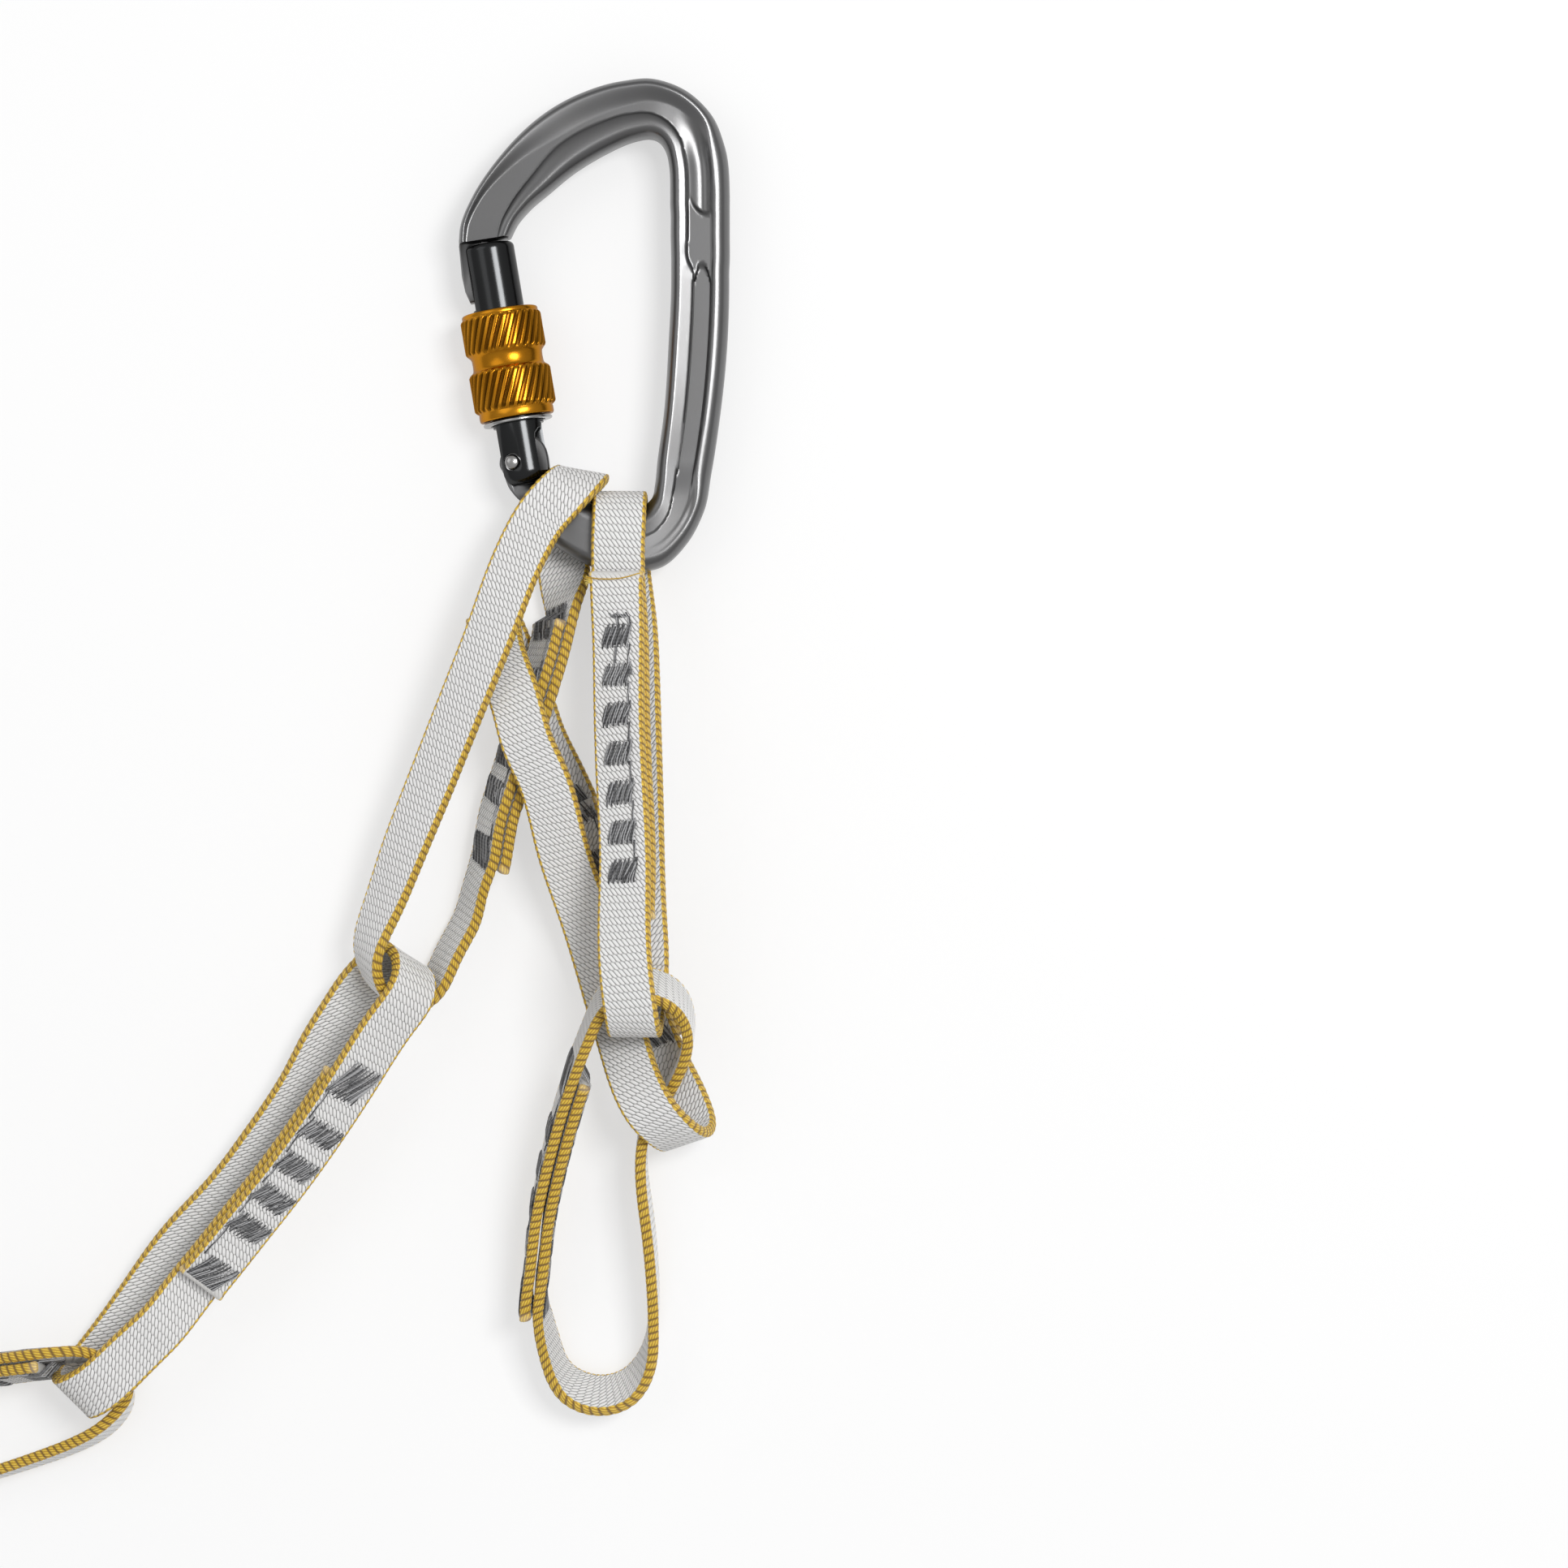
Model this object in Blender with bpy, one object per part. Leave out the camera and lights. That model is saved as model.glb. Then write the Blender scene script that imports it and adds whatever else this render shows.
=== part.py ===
"""A personal anchor chain: six sewn loops of narrow webbing, each through the next, and a slim
carabiner with a screw sleeve that holds the first loop and the fourth.

The chain lies on a table as it would be put down, +Z up: the carabiner flat on its sleeve, the
loops rolled on their edges and resting on one another. Plan positions below are millimetres from
the middle of the view that the sizes were taken from, +X right and +Y towards the carabiner's top.
PLAN_CENTRE moves the origin to the middle of the footprint, on the table.
"""
import math

import bmesh
import bpy
import numpy as np
from mathutils import Matrix, Vector

MM = 0.001
PLAN_CENTRE = (-127.9, -2.1)

# Webbing
TAPE_WIDTH = 11.0
TAPE_THICKNESS = 2.3
SELVEDGE_ROUNDING = 0.6
LAYER_GAP = 0.35
TAPE_STATIONS = 64
LAYER_STEP = TAPE_THICKNESS + LAYER_GAP
RAMP_LENGTH = 14.0

# Sewing: rows of zigzag bars joined by the running thread
STITCH_THICKNESS = 0.45
STITCH_GAP = 0.38
THREAD_RUN_WIDTH = 0.9
WIDE_BAR_WIDTH = 9.0
NARROW_BAR_WIDTH = 6.1
NARROW_BARS = [(12.8 + 8.05 * step, 4.7) for step in range(7)]
WIDE_BARS = [(2.8, 7.0), (15.1, 4.5), (22.7, 4.5), (30.7, 4.5), (39.0, 4.5), (51.3, 8.0)]
NARROW_OVERLAP = 70.0
WIDE_OVERLAP = 51.0

# Carabiner
MID_HEIGHT = 8.4
RIVET_PLAN = (-55.4, 65.7)
GATE_LEAN_DEG = 9.6
BARREL_AXIS_X = 2.3
BARREL_RADIUS = 5.2
BARREL_BOTTOM = -4.9
BARREL_TOP = 45.0
TONGUE_HALF_THICKNESS = 2.0
TANG_HALF_THICKNESS = 2.1
SLOT_CLEARANCE = 0.4
RIVET_RADIUS = 1.5
PLUNGER_X = 3.0
PLUNGER_RADIUS = 1.9
PLUNGER_TIP = 5.1
PLUNGER_LENGTH = 7.0
SPRING_TURNS = 6
SPRING_RADIUS = 1.5
SPRING_WIRE_RADIUS = 0.3
SPRING_TOP = 23.2
SLEEVE_BOTTOM = 8.95
SLEEVE_TOP = 31.15
SLEEVE_BORE = 5.65
SLEEVE_COUNTERBORE = 6.95
KNURL_GROOVES = 28
KNURL_DEPTH = 0.45
RING_BOTTOM = 8.0
RING_TOP = 8.6

# Routes of the six loops: x, y and height of the tape's middle, then the compass direction and the
# rise of its width, in degrees. Each starts at the cut end of the outer layer and runs once round.
LOOP_1 = [
    (-34.0, 42.8, 17.9, 0, 7), (-33.6, 30.6, 18.2, 0, 16), (-33.4, 17.3, 19.6, 0, 22),
    (-32.8, 1.0, 22.0, 0, 22), (-32.0, -15.4, 24.6, 0, 20), (-32.1, -30.0, 27.8, 0, 15),
    (-31.4, -40.5, 29.7, 0, 11), (-30.5, -47.4, 27.9, 0, 9), (-30.1, -50.0, 22.2, 0, 9),
    (-29.7, -47.8, 16.8, 0, 9), (-28.9, -39.4, 15.7, 0, 9), (-29.2, -27.1, 14.9, 0, 13),
    (-29.8, -5.6, 11.4, 0, 20), (-30.6, 19.3, 8.0, 0, 20), (-31.7, 34.4, 4.4, 0, 11),
    (-33.0, 44.0, 1.8, 0, 2), (-33.4, 52.9, 1.7, 0, 1), (-33.5, 57.5, 3.6, 0, 1),
    (-33.5, 58.9, 8.4, 0, 1), (-33.5, 57.6, 13.2, 0, 1), (-33.6, 53.4, 16.0, 0, 2),
    (-33.9, 48.0, 17.4, 0, 4),
]
LOOP_2 = [
    (-52.4, -108.5, 7.6, -90, 60), (-52.0, -98.7, 8.7, -90, 60), (-50.8, -88.6, 10.0, -90, 60),
    (-48.0, -75.2, 12.4, -90, 60), (-44.4, -62.6, 14.8, -90, 60), (-39.1, -48.7, 18.6, -90, 60),
    (-35.5, -42.7, 20.9, -90, 60), (-30.5, -40.5, 22.9, -90, 60), (-25.2, -41.1, 23.3, -88, 60),
    (-21.0, -44.3, 21.0, -92, 62), (-19.3, -50.0, 18.0, -95, 68), (-20.8, -57.1, 15.0, -100, 76),
    (-24.5, -64.0, 11.6, -100, 82), (-28.3, -70.4, 9.1, -90, 80), (-29.2, -78.8, 8.7, -90, 74),
    (-28.1, -88.8, 8.4, -90, 66), (-27.0, -100.5, 7.4, -90, 60), (-26.8, -109.8, 6.2, -90, 56),
    (-28.2, -118.4, 5.7, -90, 55), (-32.4, -124.1, 5.5, -90, 55), (-38.4, -125.6, 5.5, -90, 55),
    (-44.4, -123.1, 5.6, -90, 55), (-48.2, -117.3, 6.2, -90, 56),
]
LOOP_3 = [
    (-25.7, -52.8, 4.0, 20, 18), (-28.6, -45.8, 4.0, 20, 17), (-32.9, -34.1, 3.7, 20, 15),
    (-38.0, -19.1, 3.3, 20, 12), (-43.0, -5.7, 2.9, 20, 8), (-47.4, 3.5, 2.4, 20, 5),
    (-50.6, 10.2, 2.2, 20, 3), (-52.7, 16.4, 2.1, 20, 3), (-55.6, 23.4, 2.0, 20, 4),
    (-58.1, 30.1, 2.1, 20, 6), (-59.6, 33.6, 3.8, 20, 8), (-60.0, 34.6, 6.6, 20, 9),
    (-59.4, 33.4, 9.8, 20, 10), (-58.6, 29.2, 12.0, 20, 12), (-56.8, 23.1, 15.0, 20, 14),
    (-54.3, 16.5, 18.0, 20, 14), (-52.0, 8.4, 18.9, 20, 15), (-49.2, 2.1, 18.2, 20, 15),
    (-45.0, -13.4, 14.2, 20, 14), (-41.1, -25.5, 11.2, 20, 14), (-37.5, -37.2, 10.1, 20, 14),
    (-34.8, -46.4, 11.2, 20, 15), (-32.7, -52.9, 13.8, 20, 17), (-30.3, -59.9, 17.4, 20, 18),
    (-26.8, -66.4, 19.3, 20, 18), (-22.8, -70.8, 16.8, 20, 18), (-19.9, -72.5, 10.8, 20, 18),
    (-19.1, -70.4, 5.6, 20, 18), (-21.4, -63.9, 3.5, 20, 18),
]
LOOP_4 = [
    (-59.3, -16.7, 6.8, -23, 63), (-57.7, -8.5, 7.8, -23, 63), (-55.7, -1.5, 8.8, -23, 63),
    (-52.8, 7.5, 9.4, -23, 63), (-49.5, 18.4, 9.4, -23, 63), (-46.9, 27.6, 8.6, -23, 62),
    (-45.2, 36.3, 6.8, -23, 56), (-45.2, 42.2, 3.9, -23, 28), (-45.8, 48.4, 1.7, -23, 3),
    (-45.2, 56.3, 1.7, -22, 1), (-43.3, 61.7, 3.6, -14, 2), (-41.3, 63.3, 8.3, -10, 3),
    (-42.8, 61.7, 13.0, -18, 5), (-45.3, 59.1, 15.0, -25, 7), (-48.7, 55.3, 15.2, -27, 10),
    (-52.0, 49.8, 16.1, -27, 15), (-55.5, 41.8, 17.6, -25, 19), (-58.7, 32.9, 18.6, -23, 22),
    (-65.7, 15.3, 17.6, -23, 26), (-71.7, 0.5, 16.0, -23, 28), (-77.6, -14.2, 15.2, -23, 34),
    (-82.1, -26.1, 14.8, -26, 46), (-84.7, -35.0, 14.6, -32, 57), (-83.6, -40.2, 12.3, -35, 60),
    (-80.5, -43.7, 9.6, -35, 60), (-76.3, -44.3, 7.1, -34, 61), (-72.3, -41.5, 6.1, -30, 62),
    (-69.4, -36.0, 5.9, -25, 63), (-65.9, -29.3, 5.8, -23, 63), (-62.5, -22.8, 6.0, -23, 63),
]
LOOP_5 = [
    (-118.6, -101.6, 16.0, 144, 25), (-109.5, -90.4, 16.0, 144, 28), (-101.4, -80.2, 16.0, 144, 30),
    (-94.5, -70.6, 16.0, 144, 30), (-86.6, -58.6, 16.0, 144, 30), (-79.5, -47.8, 16.2, 144, 30),
    (-75.6, -41.6, 15.7, 144, 30), (-76.0, -37.2, 12.7, 144, 30), (-79.0, -35.3, 9.4, 144, 30),
    (-82.4, -37.0, 5.4, 144, 30), (-86.7, -41.4, 3.9, 144, 30), (-90.6, -47.1, 3.9, 144, 30),
    (-94.6, -53.6, 3.9, 144, 30), (-98.6, -61.3, 3.9, 144, 30), (-106.8, -73.8, 3.9, 144, 30),
    (-114.8, -84.4, 3.8, 144, 28), (-123.0, -93.3, 3.5, 144, 25), (-131.1, -104.5, 2.8, 142, 16),
    (-138.6, -115.1, 2.4, 138, 10), (-142.3, -119.8, 2.3, 136, 8), (-145.2, -123.4, 4.2, 134, 8),
    (-145.5, -124.4, 9.0, 134, 8), (-144.0, -124.8, 13.8, 134, 8), (-140.3, -123.0, 16.1, 136, 9),
    (-133.7, -117.1, 16.4, 138, 13), (-126.6, -110.2, 16.2, 142, 21),
]
LOOP_6 = [
    (-201.1, -120.4, 5.7, 90, 76), (-189.4, -119.4, 5.7, 90, 75), (-179.4, -119.2, 5.7, 90, 74),
    (-169.3, -119.2, 6.7, 90, 74), (-157.2, -118.0, 10.4, 90, 74), (-147.8, -116.6, 12.3, 90, 75),
    (-141.7, -116.9, 11.0, 70, 77), (-136.7, -119.6, 9.4, 20, 79), (-134.5, -124.7, 8.4, 60, 77),
    (-137.7, -130.7, 8.2, 86, 77), (-144.2, -135.0, 7.2, 90, 78), (-154.4, -139.0, 5.9, 90, 79),
    (-164.4, -142.1, 5.7, 90, 80), (-176.1, -144.4, 5.7, 90, 80), (-189.4, -146.1, 5.7, 90, 80),
    (-204.4, -146.6, 5.7, 90, 80), (-222.8, -145.1, 5.7, 90, 80), (-234.5, -142.1, 5.7, 90, 80),
    (-242.3, -136.1, 5.7, 90, 80), (-243.1, -128.7, 5.7, 90, 80), (-236.5, -123.4, 5.7, 90, 79),
    (-226.1, -121.7, 5.7, 90, 78), (-212.8, -121.1, 5.7, 90, 77),
]

# Name, route, overlap of the two layers, sewn bars from the outer layer's end and their width
LOOPS = [
    ("loop_1", LOOP_1, NARROW_OVERLAP, NARROW_BARS, NARROW_BAR_WIDTH),
    ("loop_2", LOOP_2, WIDE_OVERLAP, WIDE_BARS, WIDE_BAR_WIDTH),
    ("loop_3", LOOP_3, WIDE_OVERLAP, WIDE_BARS, WIDE_BAR_WIDTH),
    ("loop_4", LOOP_4, WIDE_OVERLAP, WIDE_BARS, WIDE_BAR_WIDTH),
    ("loop_5", LOOP_5, WIDE_OVERLAP, WIDE_BARS, WIDE_BAR_WIDTH),
    ("loop_6", LOOP_6, WIDE_OVERLAP, WIDE_BARS, WIDE_BAR_WIDTH),
]

# Carabiner body from the nose round to the hinge: a point on the inner edge and one on the outer
# edge, half the thickness, the shares across it of the inner ridge's crest, the foot of its wall,
# the foot of the outer ridge's wall and that ridge's crest, then the depth of the floor between
# them and of the scoop or panel that is sunk into it
BODY_STATIONS = [
    ((-56.0, 111.8), (-66.6, 110.2), 4.5, 0.13, 0.25, 0.84, 0.90, 0.6, 0.0),
    ((-54.6, 114.6), (-66.2, 114.2), 4.7, 0.14, 0.28, 0.84, 0.91, 1.0, 0.0),
    ((-52.3, 117.4), (-63.9, 119.8), 4.9, 0.15, 0.32, 0.82, 0.91, 1.3, 0.0),
    ((-48.1, 121.0), (-57.5, 129.1), 5.0, 0.17, 0.38, 0.70, 0.90, 1.4, 0.0),
    ((-42.5, 125.5), (-49.5, 136.8), 5.0, 0.20, 0.46, 0.56, 0.88, 1.4, 0.0),
    ((-36.5, 129.1), (-41.5, 141.3), 5.0, 0.21, 0.45, 0.55, 0.87, 1.4, 0.0),
    ((-30.9, 131.6), (-32.9, 143.8), 5.0, 0.20, 0.43, 0.56, 0.86, 1.4, 0.0),
    ((-27.6, 132.2), (-26.5, 144.2), 5.0, 0.19, 0.40, 0.60, 0.85, 1.4, 0.0),
    ((-25.6, 131.5), (-20.1, 141.9), 5.0, 0.18, 0.36, 0.64, 0.84, 1.5, 0.2),
    ((-24.2, 129.5), (-14.9, 137.1), 5.0, 0.17, 0.33, 0.68, 0.83, 1.5, 0.8),
    ((-23.5, 126.3), (-12.1, 130.5), 5.0, 0.17, 0.30, 0.70, 0.83, 1.5, 1.25),
    ((-23.3, 120.5), (-11.1, 120.8), 5.0, 0.17, 0.29, 0.70, 0.83, 1.5, 1.25),
    ((-23.3, 118.3), (-11.1, 118.3), 5.0, 0.17, 0.29, 0.70, 0.83, 1.5, 1.1),
    ((-23.2, 116.5), (-11.1, 116.5), 5.0, 0.17, 0.29, 0.70, 0.83, 1.5, 0.0),
    ((-23.2, 112.2), (-11.1, 112.2), 5.0, 0.17, 0.29, 0.70, 0.83, 1.5, 0.0),
    ((-23.1, 107.0), (-11.1, 107.0), 5.0, 0.17, 0.29, 0.70, 0.83, 1.5, 0.0),
    ((-23.1, 105.0), (-11.2, 105.0), 5.0, 0.17, 0.30, 0.70, 0.83, 1.5, 0.75),
    ((-23.1, 102.1), (-11.2, 102.1), 5.0, 0.17, 0.31, 0.70, 0.83, 1.5, 0.75),
    ((-23.6, 90.6), (-11.6, 90.0), 5.0, 0.17, 0.31, 0.70, 0.83, 1.5, 0.75),
    ((-24.6, 75.7), (-13.2, 74.4), 5.0, 0.17, 0.31, 0.70, 0.83, 1.5, 0.75),
    ((-25.9, 66.1), (-14.9, 63.4), 5.0, 0.18, 0.33, 0.69, 0.82, 1.4, 0.4),
    ((-26.4, 61.3), (-16.4, 55.8), 5.0, 0.20, 0.38, 0.68, 0.81, 1.1, 0.0),
    ((-27.1, 58.4), (-19.6, 49.6), 5.0, 0.24, 0.44, 0.66, 0.80, 0.8, 0.0),
    ((-29.2, 56.9), (-24.2, 44.9), 5.0, 0.28, 0.48, 0.66, 0.80, 0.5, 0.0),
    ((-33.2, 56.7), (-30.0, 43.4), 5.0, 0.30, 0.50, 0.66, 0.80, 0.2, 0.0),
    ((-38.3, 57.0), (-38.3, 44.2), 5.0, 0.30, 0.50, 0.66, 0.80, 0.0, 0.0),
    ((-42.8, 58.9), (-44.5, 47.2), 5.0, 0.30, 0.50, 0.66, 0.80, 0.0, 0.0),
    ((-46.2, 61.2), (-50.1, 51.5), 4.8, 0.30, 0.50, 0.66, 0.80, 0.0, 0.0),
    ((-48.7, 62.0), (-53.4, 56.0), 3.6, 0.30, 0.50, 0.66, 0.80, 0.0, 0.0),
]
BODY_STEP = 4.6
# Rounded edge outside each crest: share of the way from the edge to the crest, share of the height
EDGE_ROUND = [(0.0, 0.24), (0.25, 0.62), (0.60, 0.88), (1.0, 1.0)]
DISH_RIM = 0.15
TONGUE_OUTLINE = [(-66.2, 113.6), (-66.5, 109.9), (-65.9, 103.8), (-65.2, 100.6), (-64.2, 98.4),
                  (-61.4, 98.8), (-61.9, 110.6), (-61.9, 113.6)]
# Notch in the barrel's inner side for the tang's end, and the tang round the rivet, both in the
# gate's own directions
NOTCH_OUTLINE = [(5.3, -2.6), (12.0, -2.6), (12.0, 6.6), (7.6, 6.6), (6.3, 6.2), (5.5, 5.3),
                 (5.3, 4.4)]
TANG_OUTLINE = [(-2.0, 2.0), (-2.8, 0.0), (-2.3, -1.9), (-1.5, -5.4), (1.0, -8.4), (5.2, -7.0),
                (7.0, -3.0), (7.1, 1.8), (5.4, 4.5), (3.0, 4.7), (0.0, 2.8)]

# Colours, roughness and metallic value of each finish
FINISHES = {
    "tape": ((0.86, 0.85, 0.83, 1.0), 0.6, 0.0),
    "thread": ((0.06, 0.06, 0.07, 1.0), 0.6, 0.0),
    "aluminium": ((0.62, 0.63, 0.65, 1.0), 0.35, 1.0),
    "gunmetal": ((0.07, 0.07, 0.075, 1.0), 0.3, 1.0),
    "orange": ((0.95, 0.33, 0.02, 1.0), 0.3, 1.0),
    "steel": ((0.75, 0.75, 0.77, 1.0), 0.25, 1.0),
}


def clear_scene():
    """Remove every object that the file holds."""
    for item in list(bpy.data.objects):
        bpy.data.objects.remove(item, do_unlink=True)


def finish(name):
    """Return the material of this name, made on first use."""
    material = bpy.data.materials.get(name)
    if material is None:
        colour, roughness, metallic = FINISHES[name]
        material = bpy.data.materials.new(name)
        material.use_nodes = True
        shader = material.node_tree.nodes["Principled BSDF"]
        shader.inputs["Base Color"].default_value = colour
        shader.inputs["Roughness"].default_value = roughness
        shader.inputs["Metallic"].default_value = metallic
    return material


def plan(point, height=MID_HEIGHT):
    """Place a plan point at a height, in metres from the model's origin."""
    return ((point[0] - PLAN_CENTRE[0]) * MM, (point[1] - PLAN_CENTRE[1]) * MM, height * MM)


def add_object(name, vertices, faces, look, parent=None):
    """Make an object from points in millimetres, with its faces turned outwards."""
    mesh = bpy.data.meshes.new(name)
    mesh.from_pydata([tuple(float(c) * MM for c in v) for v in vertices], [], faces)
    shell = bmesh.new()
    shell.from_mesh(mesh)
    if shell.calc_volume(signed=True) < 0:
        bmesh.ops.reverse_faces(shell, faces=shell.faces)
    shell.to_mesh(mesh)
    shell.free()
    mesh.shade_smooth()
    mesh.set_sharp_from_angle(angle=math.radians(35))
    mesh.materials.append(finish(look))
    item = bpy.data.objects.new(name, mesh)
    bpy.context.collection.objects.link(item)
    item.parent = parent
    return item


def loft(name, rings, look, parent=None, closed=False, turn=0):
    """Skin rings of equal point counts; closed joins the last ring to the first, turned by some points."""
    sides = len(rings[0])
    last = len(rings) if closed else len(rings) - 1
    faces = []
    for a in range(last):
        b = (a + 1) % len(rings)
        shift = turn if b == 0 else 0
        for j in range(sides):
            k = (j + 1) % sides
            faces.append((a * sides + j, a * sides + k,
                          b * sides + (k + shift) % sides, b * sides + (j + shift) % sides))
    if not closed:
        faces.append(tuple(reversed(range(sides))))
        faces.append(tuple(range((len(rings) - 1) * sides, len(rings) * sides)))
    return add_object(name, np.concatenate(rings), faces, look, parent)


def prism(name, outline, low, high, look, parent=None):
    """Extrude a plan outline between two heights."""
    rings = [[(x, y, z) for x, y in outline] for z in (low, high)]
    return loft(name, rings, look, parent)


def turned(name, profile, centre_x, look, parent, sides=24):
    """Turn a closed or open profile of (radius, y) about the gate's long direction."""
    rings = [[(centre_x + r * math.sin(2 * math.pi * j / sides), y,
               r * math.cos(2 * math.pi * j / sides)) for j in range(sides)] for r, y in profile]
    return loft(name, rings, look, parent)


def boolean(target, tool, operation):
    """Cut or join a tool, which stays out of the model itself."""
    tool.hide_render = True
    tool.display_type = "WIRE"
    modifier = target.modifiers.new(tool.name, "BOOLEAN")
    modifier.operation = operation
    modifier.object = tool
    modifier.solver = "EXACT"


def periodic_spline(knots, values, where):
    """Evaluate the smooth closed curve through values, whose knots end with the full length."""
    count = len(values)
    step = np.diff(knots)
    matrix = np.zeros((count, count))
    right = np.zeros_like(values)
    for i in range(count):
        before, after = step[i - 1], step[i]
        matrix[i, i - 1] += before
        matrix[i, i] += 2 * (before + after)
        matrix[i, (i + 1) % count] += after
        right[i] = 6 * ((values[(i + 1) % count] - values[i]) / after
                        - (values[i] - values[i - 1]) / before)
    bend = np.linalg.solve(matrix, right)
    where = np.mod(where, knots[-1])
    k = np.clip(np.searchsorted(knots, where, side="right") - 1, 0, count - 1)
    n = (k + 1) % count
    h = step[k][:, None]
    u = (where - knots[k])[:, None]
    v = h - u
    return ((bend[k] * v ** 3 + bend[n] * u ** 3) / (6 * h)
            + (values[k] / h - bend[k] * h / 6) * v + (values[n] / h - bend[n] * h / 6) * u)


def unit(vectors):
    """Scale each row to length one."""
    return vectors / np.linalg.norm(vectors, axis=1)[:, None]


class Route:
    """The closed middle line of one loop, measured along its length in millimetres."""

    SAMPLES = 4000

    def __init__(self, points):
        table = np.array(points, dtype=float)
        heading, rise = np.radians(table[:, 3]), np.radians(table[:, 4])
        self.middle = table[:, :3] - (PLAN_CENTRE[0], PLAN_CENTRE[1], 0)
        self.across = np.stack([np.cos(rise) * np.cos(heading), np.cos(rise) * np.sin(heading),
                                np.sin(rise)], axis=1)
        chords = np.linalg.norm(np.roll(self.middle, -1, 0) - self.middle, axis=1)
        self.knots = np.concatenate([[0], np.cumsum(chords)])
        self.fine = np.linspace(0, self.knots[-1], self.SAMPLES, endpoint=False)
        curve = periodic_spline(self.knots, self.middle, self.fine)
        steps = np.roll(curve, -1, 0) - curve
        self.length_to = np.concatenate([[0], np.cumsum(np.linalg.norm(steps, axis=1))])
        self.perimeter = self.length_to[-1]
        self.centre = curve.mean(axis=0)
        directions = unit(steps)
        turn = np.linalg.norm(directions - np.roll(directions, 1, 0), axis=1)
        self.bending = turn * self.SAMPLES / self.perimeter
        self.side = 1.0
        middle, along, across, out = self.frames(np.linspace(0, self.perimeter, 200))
        self.side = 1.0 if ((middle - self.centre) * out).sum() > 0 else -1.0

    def frames(self, lengths):
        """Return the middle, and the directions along, across and outwards, at these lengths."""
        q = np.interp(np.mod(lengths, self.perimeter), self.length_to,
                      np.append(self.fine, self.knots[-1]))
        middle = periodic_spline(self.knots, self.middle, q)
        along = unit(periodic_spline(self.knots, self.middle, q + 0.05)
                     - periodic_spline(self.knots, self.middle, q - 0.05))
        across = periodic_spline(self.knots, self.across, q)
        across = unit(across - (across * along).sum(axis=1)[:, None] * along)
        return middle, along, across, np.cross(along, across) * self.side

    def stations(self, start, end, count):
        """Spread stations over a stretch, closer together where the loop bends."""
        spread = 60
        weight = 1 + 9 * np.minimum(self.bending, 0.3)
        weight = np.convolve(np.concatenate([weight[-spread:], weight, weight[:spread]]),
                             np.ones(2 * spread + 1) / (2 * spread + 1), "valid")
        fine = np.linspace(start, end, 5000)
        density = np.interp(np.mod(fine, self.perimeter), self.length_to[:-1], weight)
        total = np.concatenate([[0], np.cumsum((density[1:] + density[:-1]) / 2)])
        return np.interp(np.linspace(0, total[-1], count), total, fine)

    def layer_offset(self, lengths):
        """How far inside the middle line the tape lies: one layer in, after a full turn."""
        share = np.clip((lengths - (self.perimeter - RAMP_LENGTH)) / RAMP_LENGTH, 0, 1)
        return -LAYER_STEP * share * share * (3 - 2 * share)


def tape_section():
    """Half-round selvedges on a flat band, as (across, outwards) points."""
    half_width, half_thickness = TAPE_WIDTH / 2, TAPE_THICKNESS / 2
    flat = half_width - SELVEDGE_ROUNDING
    quarter = half_thickness / 2
    return [(-half_width, -quarter), (-flat, -half_thickness), (flat, -half_thickness),
            (half_width, -quarter), (half_width, quarter), (flat, half_thickness),
            (-flat, half_thickness), (-half_width, quarter)]


def make_tape(name, route, overlap):
    """One length of webbing, once round the loop and on under its own start."""
    at = route.stations(0, route.perimeter + overlap, TAPE_STATIONS)
    middle, along, across, out = route.frames(at)
    middle = middle + out * route.layer_offset(at)[:, None]
    rings = [[m + a * w + b * n for a, b in tape_section()] for m, w, n in zip(middle, across, out)]
    loft(name + "_tape", rings, "tape")


def stitch_stretches(bars, low, high):
    """Lengths where the sewn strip starts, widens and narrows, with 1 in a bar and 0 between."""
    edge = 0.25
    marks = []
    for centre, length in bars:
        start, end = max(centre - length / 2, low), min(centre + length / 2, high)
        if marks:
            marks.append((start - edge, 0))
        pieces = 2 if length < 6 else 4
        marks += [(start + (end - start) * step / pieces, 1) for step in range(pieces + 1)]
        if (centre, length) != bars[-1]:
            marks.append((end + edge, 0))
    return marks


def make_stitching(name, route, overlap, bars, bar_width):
    """The zigzag bars and running thread on both faces of the doubled tape."""
    lift = TAPE_THICKNESS / 2 + STITCH_GAP
    run_edge = bar_width / 2 - THREAD_RUN_WIDTH
    for side, suffix in ((1, "_stitching_outer"), (-1, "_stitching_inner")):
        low = 0.4 if side > 0 else -route.perimeter
        high = overlap - 0.4 if side < 0 else route.perimeter
        marks = stitch_stretches(bars, low, high)
        at = np.array([m[0] for m in marks])
        middle, along, across, out = route.frames(at)
        layer = np.zeros(len(at)) if side > 0 else route.layer_offset(at + route.perimeter)
        rings = []
        for m, w, n, depth, (_, wide) in zip(middle, across, out, layer, marks):
            left = -bar_width / 2 if wide else run_edge
            near = depth + side * lift
            far = near + side * STITCH_THICKNESS
            rings.append([m + left * w + near * n, m + bar_width / 2 * w + near * n,
                          m + bar_width / 2 * w + far * n, m + left * w + far * n])
        loft(name + suffix, rings, "thread")


def make_loops():
    """All six loops, each a tape and the sewing on its two faces."""
    for name, points, overlap, bars, bar_width in LOOPS:
        route = Route(points)
        make_tape(name, route, overlap)
        make_stitching(name, route, overlap, bars, bar_width)


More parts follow.
